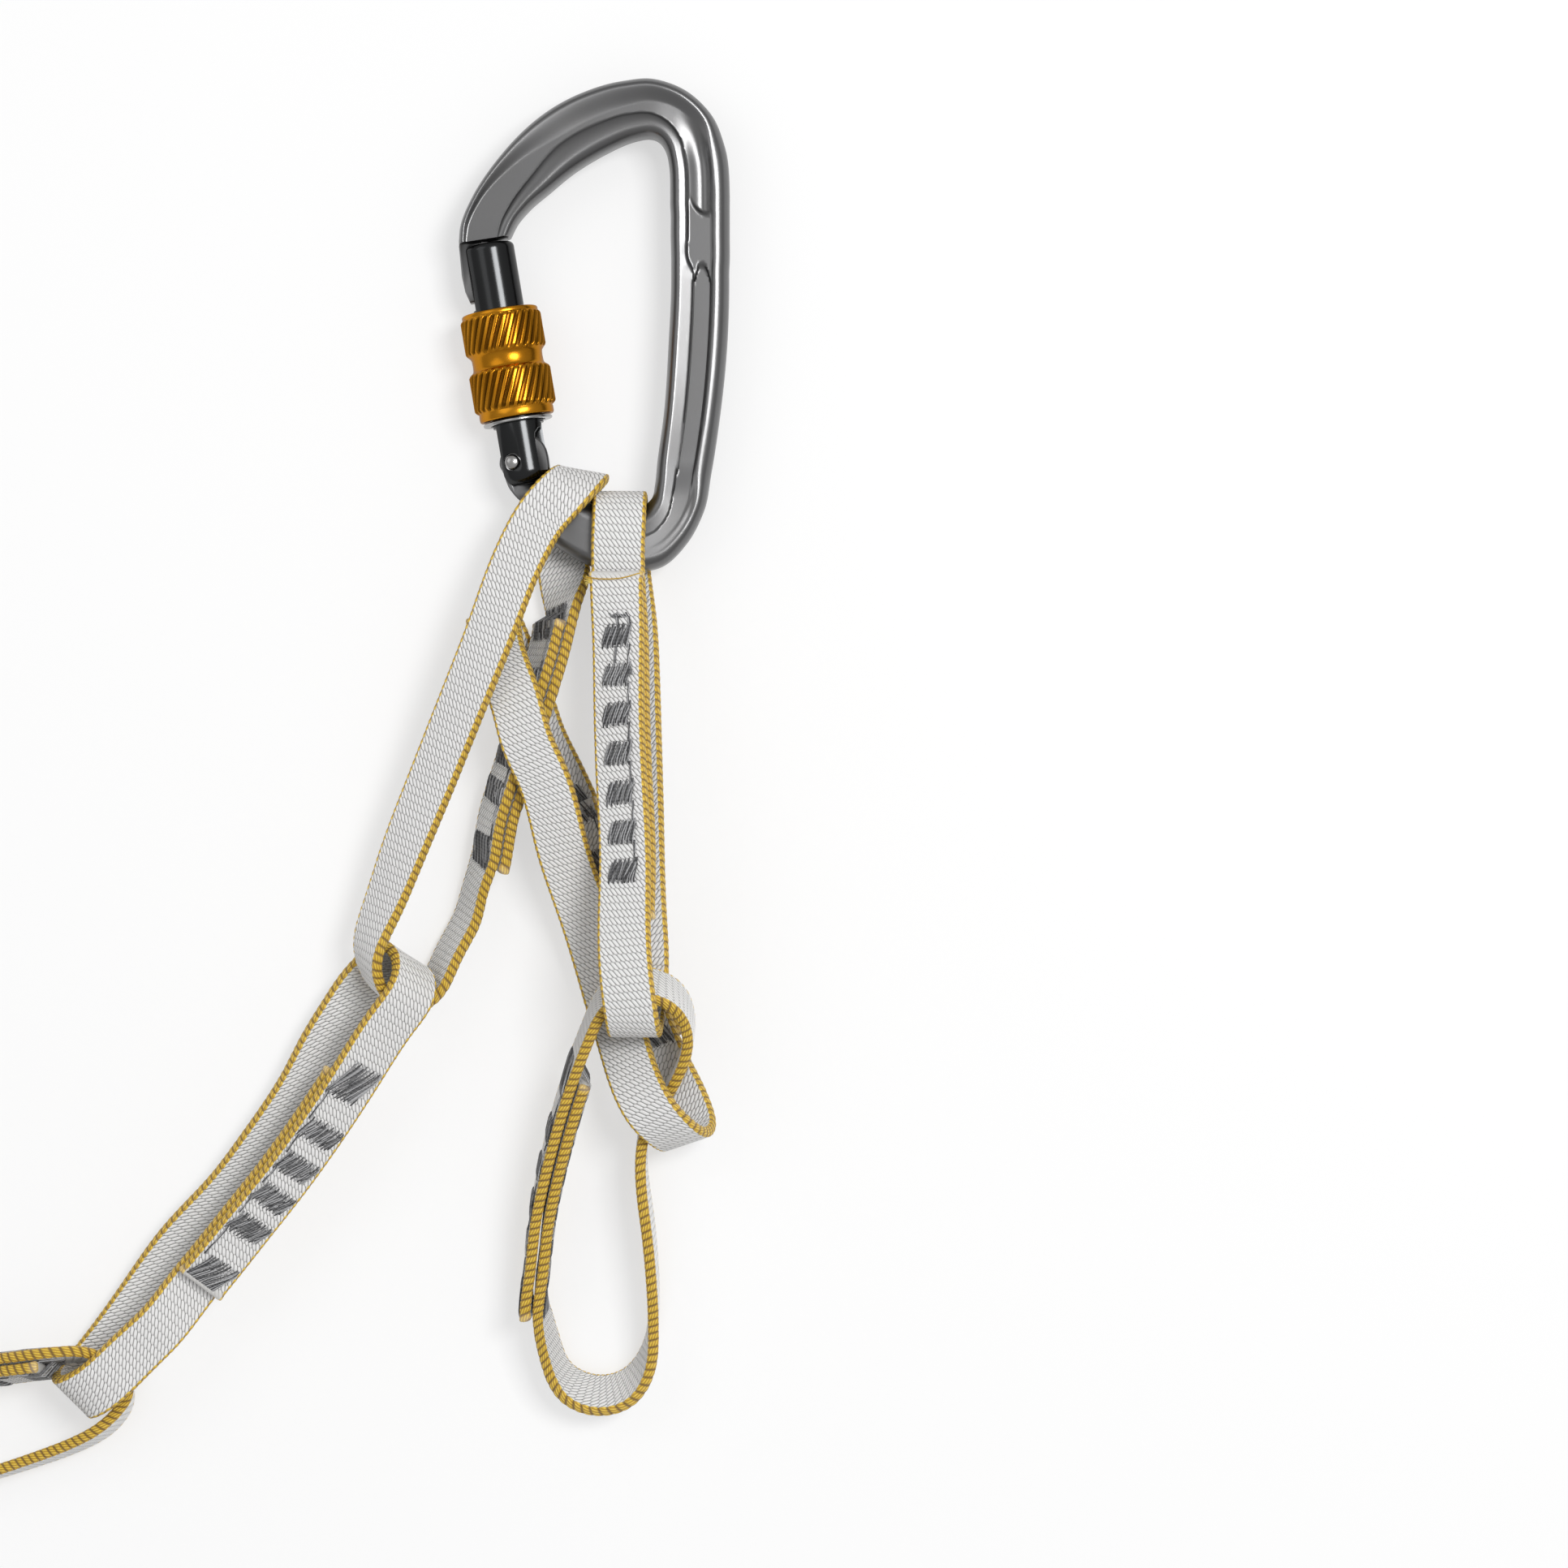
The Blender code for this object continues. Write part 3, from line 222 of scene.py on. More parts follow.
class Graph:
    """Adds nodes to one tree, of a material, a world or Geometry Nodes."""

    def __init__(self, tree: bpy.types.NodeTree) -> None:
        """Remember the tree."""
        self.tree = tree

    def plug(self, socket: bpy.types.NodeSocket, value: Union[Value, tuple]) -> None:
        """Link a signal to an input socket, or set the socket to a plain value.

        Args:
            socket: The input socket.
            value: Signal, number, colour, vector or material.
        """
        if isinstance(value, Signal):
            self.tree.links.new(value.socket, socket)
        else:
            socket.default_value = value

    def node(self, kind: str, values: dict | None = None, **settings: object) -> bpy.types.Node:
        """Add a node.

        Args:
            kind: The node's type.
            values: Values or signals of its input sockets, by name or number.
            settings: Properties, which are set before the values.

        Returns:
            The new node.
        """
        node = self.tree.nodes.new(kind)
        for name, value in settings.items():
            setattr(node, name, value)
        for name, value in (values or {}).items():
            self.plug(node.inputs[name], value)
        return node

    def signal(self, kind: str, values: dict | None = None, output: int | str = 0,
               **settings: object) -> Signal:
        """Add a node and wrap one of its outputs."""
        return Signal(self, self.node(kind, values, **settings).outputs[output])

    def math(self, operation: str, *values: Value) -> Signal:
        """Add a Math node."""
        return self.signal("ShaderNodeMath", dict(enumerate(values)), operation=operation)

    def mix(self, factor: Value, first: Union[Signal, tuple],
            second: Union[Signal, tuple]) -> Signal:
        """Blend two colours: the factor 0 gives the first and 1 the second."""
        return self.signal("ShaderNodeMix", {0: factor, 6: first, 7: second}, 2, data_type="RGBA")

    def noise(self, scale: float, detail: float = 2.0, vector: Signal | None = None) -> Signal:
        """Add noise around 0.5.

        Args:
            scale: Size of the pattern, larger for a finer one.
            detail: How many finer patterns are laid over it.
            vector: Where to read it, or the piece's own coordinates if not given.

        Returns:
            The noise.
        """
        values = {"Scale": scale, "Detail": detail}
        if vector is not None:
            values["Vector"] = vector
        return self.signal("ShaderNodeTexNoise", values)

    def ray(self, kind: str) -> Signal:
        """1 for rays of a kind, such as Camera or Glossy, and 0 for others."""
        return self.signal("ShaderNodeLightPath", None, f"Is {kind} Ray")


class ShadeGraph(Graph):
    """The node tree of one material."""

    def __init__(self, name: str) -> None:
        """Make the material with its shader and its output.

        Args:
            name: The material's name.
        """
        self.material = bpy.data.materials.new(name)
        self.material.use_nodes = True
        super().__init__(self.material.node_tree)
        self.shader = self.tree.nodes["Principled BSDF"]
        self.place = self.signal("ShaderNodeTexCoord", None, "Object")

    def layer(self, name: str) -> Signal:
        """Read a number that is stored on the mesh."""
        return self.signal("ShaderNodeAttribute", None, "Fac", attribute_name=name)

    def feed(self, **sockets: Union[Value, tuple]) -> None:
        """Plug the shader's sockets.

        Args:
            sockets: Signals or plain values, by names with low lines for spaces.
        """
        for name, value in sockets.items():
            label = name.replace("_", " ").title().replace("Ior", "IOR")
            self.plug(self.shader.inputs[label], value)

    def bump(self, height: Signal, distance: float, strength: float = 1.0) -> None:
        """Turn a height from 0 to 1 into the shader's normal, with its depth in millimetres."""
        values = {"Height": height, "Distance": distance * MM, "Strength": strength}
        self.feed(normal=self.signal("ShaderNodeBump", values, "Normal"))


# Weave and finishes

@dataclass(frozen=True)
class Weave:
    """The webbing's pattern: short floats in rows, every row half a float aside.

    The edge is woven of slanted bundles of threads, one bundle to each row.
    """

    row_pitch: float = 1.5
    row_squareness: float = 7.0
    float_pitch: float = 0.98
    lean: float = 1.10
    float_width: float = 0.50
    float_length: float = 0.59
    edge_threads: float = 4.0
    edge_start: float = 4.78
    edge_blend: float = 0.20
    edge_bulge: float = 0.14
    edge_slant: float = 0.38
    edge_phase: float = 0.22
    thread_lean: float = 0.7

    def row_swell(self, along: Signal) -> Signal:
        """Height of a whole row, which falls to the thin line between it and the next."""
        return 1 - (along / self.row_pitch).zigzag() ** self.row_squareness

    def grain(self, along: Signal, across: Signal) -> Signal:
        """Height of the floats on a face, 0 between them and 1 on top.

        Args:
            along: Length along the webbing.
            across: Distance from its middle line.

        Returns:
            The height.
        """
        row = along / self.row_pitch
        place = row.fract() - 0.5
        parity = (row.floor() * 0.5).fract()
        column = across / self.float_pitch + parity - place * self.lean
        beside = column + 0.5 + place.sign() * self.lean
        return self.single(column, abs(place)).at_least(self.single(beside, 1 - abs(place)))

    def single(self, column: Signal, end: Signal) -> Signal:
        """Height of one float, from its column and its distance from the row's middle."""
        side, end = (column.fract() - 0.5) / self.float_width, end / self.float_length
        return (1 - side * side - end * end * end * end).at_least(0.0) ** 0.5

    def rib(self, along: Signal, through: Signal) -> Signal:
        """Height of the slanted bundles along the edge, 0 in the recess between two rows."""
        row = (along + through * self.edge_slant) / self.row_pitch + self.edge_phase
        place = row.zigzag()
        return 1 - place * place

    def strand(self, along: Signal, through: Signal) -> Signal:
        """Height of the single threads that lie side by side in each bundle."""
        row = (along / self.row_pitch + self.edge_phase).fract() - 0.5
        return (through * (self.edge_threads / 2) + row * self.thread_lean).zigzag()

    def rim(self, across: Signal, rib: Signal) -> Signal:
        """0 on the face and 1 on the edge, which reaches further in where a bundle lies."""
        reach = abs(across) + rib * self.edge_bulge
        return reach.step(self.edge_start, self.edge_start + self.edge_blend)


WEAVE = Weave()


@dataclass(frozen=True)
class WebbingFinish:
    """White woven webbing with yellow edges and melted cut ends."""

    name: str = "woven_webbing"
    face: tuple = (0.865, 0.858, 0.85, 1)
    # Painted shade: the shade colour fills the gaps between floats, and the line colour the thin
    # line between rows.
    shade: tuple = (0.33, 0.322, 0.315, 1)
    line: tuple = (0.40, 0.395, 0.39, 1)
    soil: tuple = (0.60, 0.59, 0.58, 1)
    fluff: tuple = (1.0, 1.0, 1.0, 1)
    gold: tuple = (1.0, 0.72, 0.035, 1)
    # The edge threads' tops are gold; this colour is the same gold painted shaded, in the valleys
    # between threads.
    shaded_gold: tuple = (0.50, 0.26, 0.004, 1)
    # Painted shade in the recess between two bundles of the edge.
    recess: tuple = (0.19, 0.09, 0.002, 1)
    # Painted highlight: glints on the tops of the edge bundles.
    painted_glint: tuple = (1.0, 0.88, 0.30, 1)
    melted: tuple = (0.60, 0.59, 0.57, 1)
    relief: float = 0.26

    def build(self) -> bpy.types.Material:
        """Make the material.

        Returns:
            The material, which reads the mesh's own along, across, through and melt layers.
        """
        g = ShadeGraph(self.name)
        along, across, through, melt = map(g.layer, ("along", "across", "through", "melt"))
        grain, swell = WEAVE.grain(along, across), WEAVE.row_swell(along)
        rib, strand = WEAVE.rib(along, through), WEAVE.strand(along, through)
        rim = WEAVE.rim(across, rib)
        fibre, cloud, uneven = g.noise(9000, 2), g.noise(170, 3), g.noise(900, 1)
        # Painted shade: grey in the gaps between floats and along the thin lines between rows.
        face = g.mix(grain.step(0.22, 0.88), self.shade, self.face)
        face = g.mix(swell.step(0.05, 0.75) * 0.25 + 0.75, self.line, face)
        face = g.mix((cloud - 0.40).at_least(0.0) * 0.5, face, self.soil)
        # Painted light on the edge: lit thread tops in gold, shaded gold between the threads.
        lit = strand.step(0.10, 0.90) * (uneven * 1.6 - 0.05).at_most(1.0)
        edge = g.mix(lit, self.shaded_gold, self.gold)
        # Painted shade: dark in the recess between bundles.
        edge = g.mix(rib.step(0.20, 0.85) * 0.92 + 0.08, self.recess, edge)
        # Painted highlight: glints where a thread tops a bundle.
        edge = g.mix((strand * rib * uneven).step(0.42, 0.62) * 0.7, edge, self.painted_glint)
        colour = g.mix(rim, face, edge)
        colour = g.mix(fibre.step(0.40, 0.75) * 0.10, colour, self.fluff)
        colour = g.mix(melt * (0.8 - rim * 0.55), colour, self.melted)
        height = (grain * 0.9 + swell * 0.1) * (1 - rim) + (rib * 0.4 + strand * 0.6) * rim
        g.feed(base_color=colour, roughness=0.60 - melt * 0.3 - rim * 0.18, sheen_weight=0.08)
        g.bump(height * (1 - melt) + fibre * 0.10, self.relief)
        return g.material


@dataclass(frozen=True)
class ThreadFinish:
    """Twisted sewing thread with a dull shine."""

    name: str = "sewing_thread"
    dark: tuple = (0.022, 0.022, 0.025, 1)
    # On the sewing thread the light colour is painted sheen on every other stroke.
    light: tuple = (0.48, 0.48, 0.49, 1)
    twist_rate: float = 9.0
    relief: float = 0.05

    def build(self) -> bpy.types.Material:
        """Make the material.

        Returns:
            The material, whose lightness follows the shade layer; on the sewing thread that layer
            gives each stroke a random tone and paints every other stroke lighter as sheen.
        """
        g = ShadeGraph(self.name)
        twist = (g.layer("run") * self.twist_rate).sine() * 0.5 + 0.5
        fuzz = g.noise(5200, 2)
        # Partly painted sheen: on the sewing thread the shade layer lightens every other stroke
        # beside a random tone, and lighter bands along the twist are painted sheen too.
        tone = g.layer("shade").step(0.35, 0.85) * 0.80 + twist * 0.12 + (fuzz - 0.5) * 0.3
        g.feed(base_color=g.mix(tone.at_least(0.0), self.dark, self.light), roughness=0.42,
               sheen_weight=0.1)
        g.bump(twist * 0.7 + fuzz * 0.3, self.relief, 0.7)
        return g.material


@dataclass(frozen=True)
class MetalFinish:
    """A metal surface with fine grain, faint handling marks and lighter crest lines, partly rubbed
    metal and partly painted highlight.
    """

    name: str
    colour: tuple
    deep: tuple
    # Lighter colour of handling marks, and of the crest lines, which are partly rubbed metal and
    # partly painted highlight.
    worn_and_highlight: tuple
    roughness: float
    coat: float = 0.0
    edge: float = 1.0
    uneven: float = 0.10
    uses_wear_and_highlight: bool = False
    uses_groove_shade: bool = False
    # Painted shade in the grooves of the sleeve's knurl.
    groove_shade: tuple = (0.045, 0.016, 0.002, 1)
    grain_scale: float = 5200.0
    grain_depth: float = 0.002
    mark_stretch: tuple = (900, 60, 900)

    def build(self) -> bpy.types.Material:
        """Make the material.

        Returns:
            The material, on object coordinates; where the piece has a crest layer it lightens the
            crests, partly as rubbed metal and partly as painted highlight.
        """
        g = ShadeGraph(self.name)
        grain, cloud = g.noise(self.grain_scale, 2, g.place), g.noise(90, 4, g.place)
        stretched = g.signal("ShaderNodeMapping", {"Vector": g.place, "Scale": self.mark_stretch})
        marks = g.noise(6.0, 3, stretched).step(0.62, 0.74)
        colour = g.mix(cloud.step(0.3, 0.7), self.colour, self.deep)
        # Crest lines lightened: partly rubbed metal, partly painted highlight.
        if self.uses_wear_and_highlight:
            wear_and_highlight = g.layer("wear_and_highlight") * (cloud + 0.45).at_most(1.0)
            colour = g.mix(wear_and_highlight * 0.12, colour, self.worn_and_highlight)
        # Painted shade: darker down in the sleeve's grooves.
        if self.uses_groove_shade:
            colour = g.mix(g.layer("groove_shade") * 0.85, colour, self.groove_shade)
        colour = g.mix(marks * self.uneven, colour, self.worn_and_highlight)
        rough = self.roughness + (cloud + grain - 1) * self.uneven - marks * 0.03
        g.feed(base_color=colour, roughness=rough, metallic=1.0, coat_weight=self.coat,
               coat_roughness=self.roughness, specular_tint=(self.edge, self.edge, self.edge, 1))
        g.bump(grain, self.grain_depth, 0.5)
        return g.material


@dataclass(frozen=True)
class TableFinish:
    """A plain pale table that keeps the object's shadow."""

    name: str = "pale_table"
    colour: tuple = (0.93, 0.93, 0.93, 1)
    share: float = 0.55

    def build(self) -> bpy.types.Material:
        """Make the material.

        Returns:
            The material, part of whose light is plain white for the camera and for gloss.
        """
        g = ShadeGraph(self.name)
        g.feed(base_color=self.colour, roughness=0.9, specular_ior_level=0.1)
        seen = g.ray("Camera").at_least(g.ray("Glossy")).at_least(g.ray("Transmission"))
        lit = Signal(g, g.shader.outputs[0])
        white = g.signal("ShaderNodeEmission", {"Color": (1, 1, 1, 1), "Strength": 1.0})
        both = g.signal("ShaderNodeMixShader", {0: seen * self.share, 1: lit, 2: white})
        g.plug(g.tree.nodes["Material Output"].inputs["Surface"], both)
        return g.material


class Finish(Enum):
    """Every finish of the chain, by the piece that it is for."""

    WEBBING = WebbingFinish()
    THREAD = ThreadFinish()
    YARN = ThreadFinish("loose_yarn", (0.50, 0.28, 0.010, 1), (0.95, 0.78, 0.20, 1))
    BODY = MetalFinish("satin_aluminium", (0.172, 0.172, 0.174, 1), (0.163, 0.162, 0.162, 1),
                       (0.50, 0.50, 0.51, 1), 0.33, uneven=0.05, uses_wear_and_highlight=True)
    BARREL = MetalFinish("dark_gunmetal", (0.014, 0.015, 0.016, 1), (0.011, 0.012, 0.013, 1),
                         (0.08, 0.08, 0.08, 1), 0.18, coat=0.65, edge=0.12, uneven=0.04)
    SLEEVE = MetalFinish("orange_anodised", (0.58, 0.245, 0.016, 1), (0.48, 0.190, 0.010, 1),
                         (0.85, 0.48, 0.10, 1), 0.26, edge=0.6, uneven=0.05, uses_groove_shade=True)
    STEEL = MetalFinish("bright_steel", (0.42, 0.415, 0.41, 1), (0.36, 0.355, 0.35, 1),
                        (0.60, 0.60, 0.60, 1), 0.24)
    SPRING = MetalFinish("spring_wire", (0.50, 0.50, 0.51, 1), (0.40, 0.40, 0.41, 1),
                         (0.7, 0.7, 0.7, 1), 0.3)
    TABLE = TableFinish()

    def material(self) -> bpy.types.Material:
        """The finish's material, made on first use."""
        made = bpy.data.materials.get(self.value.name)
        return made or self.value.build()


# Meshes

def store(mesh: bpy.types.Mesh, layers: dict) -> None:
    """Store layers of values on a mesh's points.

    Args:
        mesh: The mesh.
        layers: Numbers or vectors, by the layer's name.
    """
    for name, values in layers.items():
        values = np.asarray(values, dtype=np.float32)
        kind, key = ("FLOAT_VECTOR", "vector") if values.ndim == 2 else ("FLOAT", "value")
        mesh.attributes.new(name, kind, "POINT").data.foreach_set(key, values.ravel())


def add_piece(name: str, mesh: bpy.types.Mesh) -> bpy.types.Object:
    """Put a mesh in the scene.

    Args:
        name: The new object's name.
        mesh: The mesh.

    Returns:
        The object.
    """
    piece = bpy.data.objects.new(name, mesh)
    bpy.context.collection.objects.link(piece)
    return piece


def skin(rings: int, sides: int, closed: bool) -> list:
    """Join rings of equal point counts by faces.

    Args:
        rings: Number of rings.
        sides: Points in each ring.
        closed: Whether the last ring joins the first; if not, each end gets a face.

    Returns:
        The faces, as corner numbers.
    """
    faces = []
    for a in range(rings if closed else rings - 1):
        b = (a + 1) % rings
        for j in range(sides):
            k = (j + 1) % sides
            faces.append((a * sides + j, a * sides + k, b * sides + k, b * sides + j))
    if not closed:
        faces += [tuple(reversed(range(sides))), tuple(range((rings - 1) * sides, rings * sides))]
    return faces


def solid(name: str, rings: np.ndarray, layers: dict | None = None, sharp: float | None = None,
          closed: bool = False) -> bpy.types.Object:
    """Make a piece from rings of points in millimetres.

    Args:
        name: The piece's name.
        rings: The rings, which have equal point counts.
        layers: Numbers or vectors to store on the points, by name.
        sharp: Angle in degrees from which an edge is shaded sharp.
        closed: Whether the last ring joins the first.

    Returns:
        The piece, its faces turned outwards.
    """
    count, sides = rings.shape[:2]
    mesh = bpy.data.meshes.new(name)
    mesh.from_pydata(rings.reshape(-1, 3) * MM, [], skin(count, sides, closed))
    shell = bmesh.new()
    shell.from_mesh(mesh)
    if shell.calc_volume(signed=True) < 0:
        bmesh.ops.reverse_faces(shell, faces=shell.faces)
    shell.to_mesh(mesh)
    shell.free()
    store(mesh, layers or {})
    mesh.shade_smooth()
    if sharp is not None:
        mesh.set_sharp_from_angle(angle=math.radians(sharp))
    return add_piece(name, mesh)


def level(plan: np.ndarray, height: float) -> np.ndarray:
    """Give plan points a height."""
    return np.column_stack([plan, np.full(len(plan), height)])


def combine(piece: bpy.types.Object, operation: str, *tools: bpy.types.Object) -> None:
    """Join a piece with tools, or cut them out of it, by boolean modifiers.

    Args:
        piece: The piece.
        operation: UNION or DIFFERENCE.
        tools: What is joined to it or cut out of it.
    """
    for tool in tools:
        modifier = piece.modifiers.new(tool.name, "BOOLEAN")
        modifier.operation, modifier.object, modifier.solver = operation, tool, "EXACT"


def freeze(piece: bpy.types.Object, *tools: bpy.types.Object) -> bpy.types.Object:
    """Turn a piece with modifiers into a plain mesh of the same name.

    Args:
        piece: The piece, whose modifiers are applied and removed.
        tools: What its modifiers used, which is removed as well.

    Returns:
        The same piece, at the origin with its place in its mesh.
    """
    bpy.context.view_layer.update()
    sight = bpy.context.evaluated_depsgraph_get()
    mesh = bpy.data.meshes.new_from_object(piece.evaluated_get(sight), depsgraph=sight)
    mesh.transform(piece.matrix_world)
    piece.modifiers.clear()
    piece.matrix_world = Matrix.Identity(4)
    piece.data = mesh
    for tool in tools:
        bpy.data.objects.remove(tool, do_unlink=True)
    return piece


def dress(piece: bpy.types.Object, finish: Finish, body: str, slot: str, *replaces: str) -> None:
    """Give a piece its finish and tie it to the frame.

    Args:
        piece: The finished piece.
        finish: Its finish.
        body: The body that it rides on.
        slot: Not used.
        replaces: The CAD nodes that it stands for.
    """
    piece.data.materials.clear()
    piece.data.materials.append(finish.material())
    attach(piece, body)
    if replaces:
        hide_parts(*replaces)
    LOG.info("%s: %d faces on %s", piece.name, len(piece.data.polygons), body)


def grow(piece: bpy.types.Object, name: str, inputs: dict,
         build: Callable[[Graph, Signal, dict], Signal], finish: Finish) -> bpy.types.Object:
    """Run a Geometry Nodes tree on a piece and keep the plain result.

    Args:
        piece: The piece.
        name: The tree's name.
        inputs: The tree's named number inputs and their values.
        build: Adds the nodes between the incoming and the outgoing geometry.
        finish: The finish whose material the result gets.

    Returns:
        The piece with its new mesh.
    """
    tree = bpy.data.node_groups.new(name, "GeometryNodeTree")
    face = tree.interface
    face.new_socket("Geometry", in_out="INPUT", socket_type="NodeSocketGeometry")
    for label, value in inputs.items():
        kind = "NodeSocketInt" if isinstance(value, int) else "NodeSocketFloat"
        face.new_socket(label, in_out="INPUT", socket_type=kind).default_value = value
    face.new_socket("Geometry", in_out="OUTPUT", socket_type="NodeSocketGeometry")
    g = Graph(tree)
    entry = g.node("NodeGroupInput")
    signals = {label: Signal(g, entry.outputs[label]) for label in ("Geometry", *inputs)}
    shape = build(g, signals["Geometry"], signals)
    real = g.signal("GeometryNodeRealizeInstances", {"Geometry": shape})
    g.node("NodeGroupOutput", {"Geometry": g.signal(
        "GeometryNodeSetMaterial", {"Geometry": real, "Material": finish.material()})})
    modifier = piece.modifiers.new(name, "NODES")
    modifier.node_group = tree
    for item in face.items_tree:
        if item.in_out == "INPUT" and item.name in inputs:
            modifier[item.identifier] = inputs[item.name]
    return freeze(piece)


def stored(g: Graph, name: str, kind: str = "FLOAT") -> Signal:
    """Read a layer of the incoming mesh in a Geometry Nodes tree."""
    return g.signal("GeometryNodeInputNamedAttribute", {"Name": name}, data_type=kind)


def raised(g: Graph, shape: Signal, amount: Signal) -> Signal:
    """Move points along their stored outward direction by an amount in millimetres."""
    offset = g.signal("ShaderNodeVectorMath", {"Vector": stored(g, "outward", "FLOAT_VECTOR"),
                                               "Scale": amount * MM}, operation="SCALE")
    return g.signal("GeometryNodeSetPosition", {"Geometry": shape, "Offset": offset})


# Webbing loops

def unit(vectors: np.ndarray) -> np.ndarray:
    """Scale each row to length one."""
    return vectors / np.linalg.norm(vectors, axis=1)[:, None]


def periodic_spline(knots: np.ndarray, values: np.ndarray, where: np.ndarray) -> np.ndarray:
    """Evaluate the smooth closed curve through values.

    Args:
        knots: Places of the values, ending with the full length.
        values: One row for each knot but the last.
        where: Places to evaluate at.

    Returns:
        One row for each place.
    """
    count = len(values)
    step = np.diff(knots)
    matrix = np.zeros((count, count))
    right = np.zeros_like(values)
    for i in range(count):
        before, after = step[i - 1], step[i]
        matrix[i, i - 1] += before
        matrix[i, i] += 2 * (before + after)
        matrix[i, (i + 1) % count] += after
        right[i] = 6 * ((values[(i + 1) % count] - values[i]) / after
                        - (values[i] - values[i - 1]) / before)
    bend = np.linalg.solve(matrix, right)
    where = np.mod(where, knots[-1])
    k = np.clip(np.searchsorted(knots, where, side="right") - 1, 0, count - 1)
    n = (k + 1) % count
    h = step[k][:, None]
    u = (where - knots[k])[:, None]
    v = h - u
    return ((bend[k] * v ** 3 + bend[n] * u ** 3) / (6 * h)
            + (values[k] / h - bend[k] * h / 6) * v + (values[n] / h - bend[n] * h / 6) * u)


class Route:
    """The closed middle line of one loop, measured along its length in millimetres."""

    SAMPLES = 4000
    PROBES = 200
    REACH = 0.05

    def __init__(self, points: list, layer_step: float, ramp: float) -> None:
        """Measure the route.

        Args:
            points: The route's points.
            layer_step: How far in the second layer lies.
            ramp: Length over which the tape goes under itself.
        """
        table = np.array(points, dtype=float)
        heading, rise = np.radians(table[:, 3]), np.radians(table[:, 4])
        self.layer_step, self.ramp = layer_step, ramp
        self.middle = table[:, :3] - PLAN_CENTRE
        self.across = np.stack([np.cos(rise) * np.cos(heading), np.cos(rise) * np.sin(heading),
                                np.sin(rise)], axis=1)
        chords = np.linalg.norm(np.roll(self.middle, -1, 0) - self.middle, axis=1)
        self.knots = np.concatenate([[0], np.cumsum(chords)])
        self.fine = np.linspace(0, self.knots[-1], self.SAMPLES, endpoint=False)
        curve = periodic_spline(self.knots, self.middle, self.fine)
        steps = np.roll(curve, -1, 0) - curve
        self.length_to = np.concatenate([[0], np.cumsum(np.linalg.norm(steps, axis=1))])
        self.perimeter = self.length_to[-1]
        centre = curve.mean(axis=0)
        self.side = 1.0
        middle, _, _, out = self.frames(np.linspace(0, self.perimeter, self.PROBES))
        self.side = 1.0 if ((middle - centre) * out).sum() > 0 else -1.0

    def frames(self, lengths: np.ndarray) -> tuple:
        """Find where the route runs and how the tape lies there.

        Args:
            lengths: Lengths along the route.

        Returns:
            The middle, and the directions along, across and outwards, at each length.
        """
        q = np.interp(np.mod(lengths, self.perimeter), self.length_to,
                      np.append(self.fine, self.knots[-1]))
        middle = periodic_spline(self.knots, self.middle, q)
        along = unit(periodic_spline(self.knots, self.middle, q + self.REACH)
                     - periodic_spline(self.knots, self.middle, q - self.REACH))
        across = periodic_spline(self.knots, self.across, q)
        across = unit(across - (across * along).sum(axis=1)[:, None] * along)
        return middle, along, across, np.cross(along, across) * self.side

    def layer_offset(self, lengths: np.ndarray) -> np.ndarray:
        """How far inside the middle line the tape lies: one layer in, after a full turn."""
        share = np.clip((lengths - (self.perimeter - self.ramp)) / self.ramp, 0, 1)
        return -self.layer_step * share * share * (3 - 2 * share)


@dataclass(frozen=True)
class Sewing:
    """A pattern of sewn bars.

    The overlap is the length over which two layers are sewn, and the tooth is the distance between
    two teeth of a bar's end. The lean is how far the outer face's strokes go across for each
    millimetre along. The bars are (centre, length) pairs from the outer layer's cut end.
    """

    overlap: float
    width: float
    tooth: float
    lean: float
    bars: tuple


NARROW = Sewing(70.0, 6.1, 1.05, 0.40, tuple((12.8 + 8.05 * step, 4.7) for step in range(7)))
WIDE = Sewing(51.0, 9.0, 0.80, 0.62, ((2.8, 7.0), (15.1, 4.5), (22.7, 4.5), (30.7, 4.5),
                                      (39.0, 4.5), (51.3, 8.0)))

# Loop 1 only: single strokes beside its sewn bars, as (length, across) pairs, and the long line of
# the yarn that came loose at its cut end, as length, across and outwards
STRAY_STROKES = [
    ((8.7, 2.3), (10.8, 2.9)), ((8.9, 2.5), (10.9, 3.0)), ((9.0, 0.0), (10.6, 0.3)),
    ((9.1, 0.3), (10.7, 0.6)), ((15.0, -0.3), (18.6, -0.5)), ((14.8, 0.0), (18.4, -0.2)),
    ((20.0, 3.05), (20.9, 3.10)), ((20.0, 3.25), (20.9, 3.30)), ((20.0, 3.45), (20.9, 3.50)),
]
LOOSE_YARN = [(1.3, -6.6, 0.1), (0.8, -6.3, 0.8), (0.9, -5.2, 1.28), (1.2, -3.6, 1.36),
              (1.3, -1.2, 1.40), (1.2, 1.0, 1.40), (0.8, 3.0, 1.38), (0.3, 4.6, 1.30),
              (0.1, 5.6, 0.90)]


@dataclass(frozen=True)
class StartRow:
    """Loop 1 only: the uneven row of short strokes where its sewing starts."""

    count: int = 14
    first: float = -1.5
    low: float = 8.4
    high: float = 9.0
    wave: float = 0.3
    wave_rate: float = 0.8
    low_jitter: float = 0.12
    high_jitter: float = 0.15
    slant: float = 0.8

    def strokes(self, pitch: float, rng: np.random.Generator) -> list:
        """Lay the row.

        Args:
            pitch: Distance between two strokes.
            rng: The source of the face's random numbers.

        Returns:
            Start and end of each stroke, as (length, across) pairs.
        """
        found = []
        for k in range(self.count):
            v = self.first + pitch * k
            wave = self.wave * math.sin(self.wave_rate * k)
            start = self.low + wave + rng.normal(0, self.low_jitter)
            end = self.high + rng.normal(0, self.high_jitter)
            found.append(((start, v), (end, v + self.slant)))
        return found


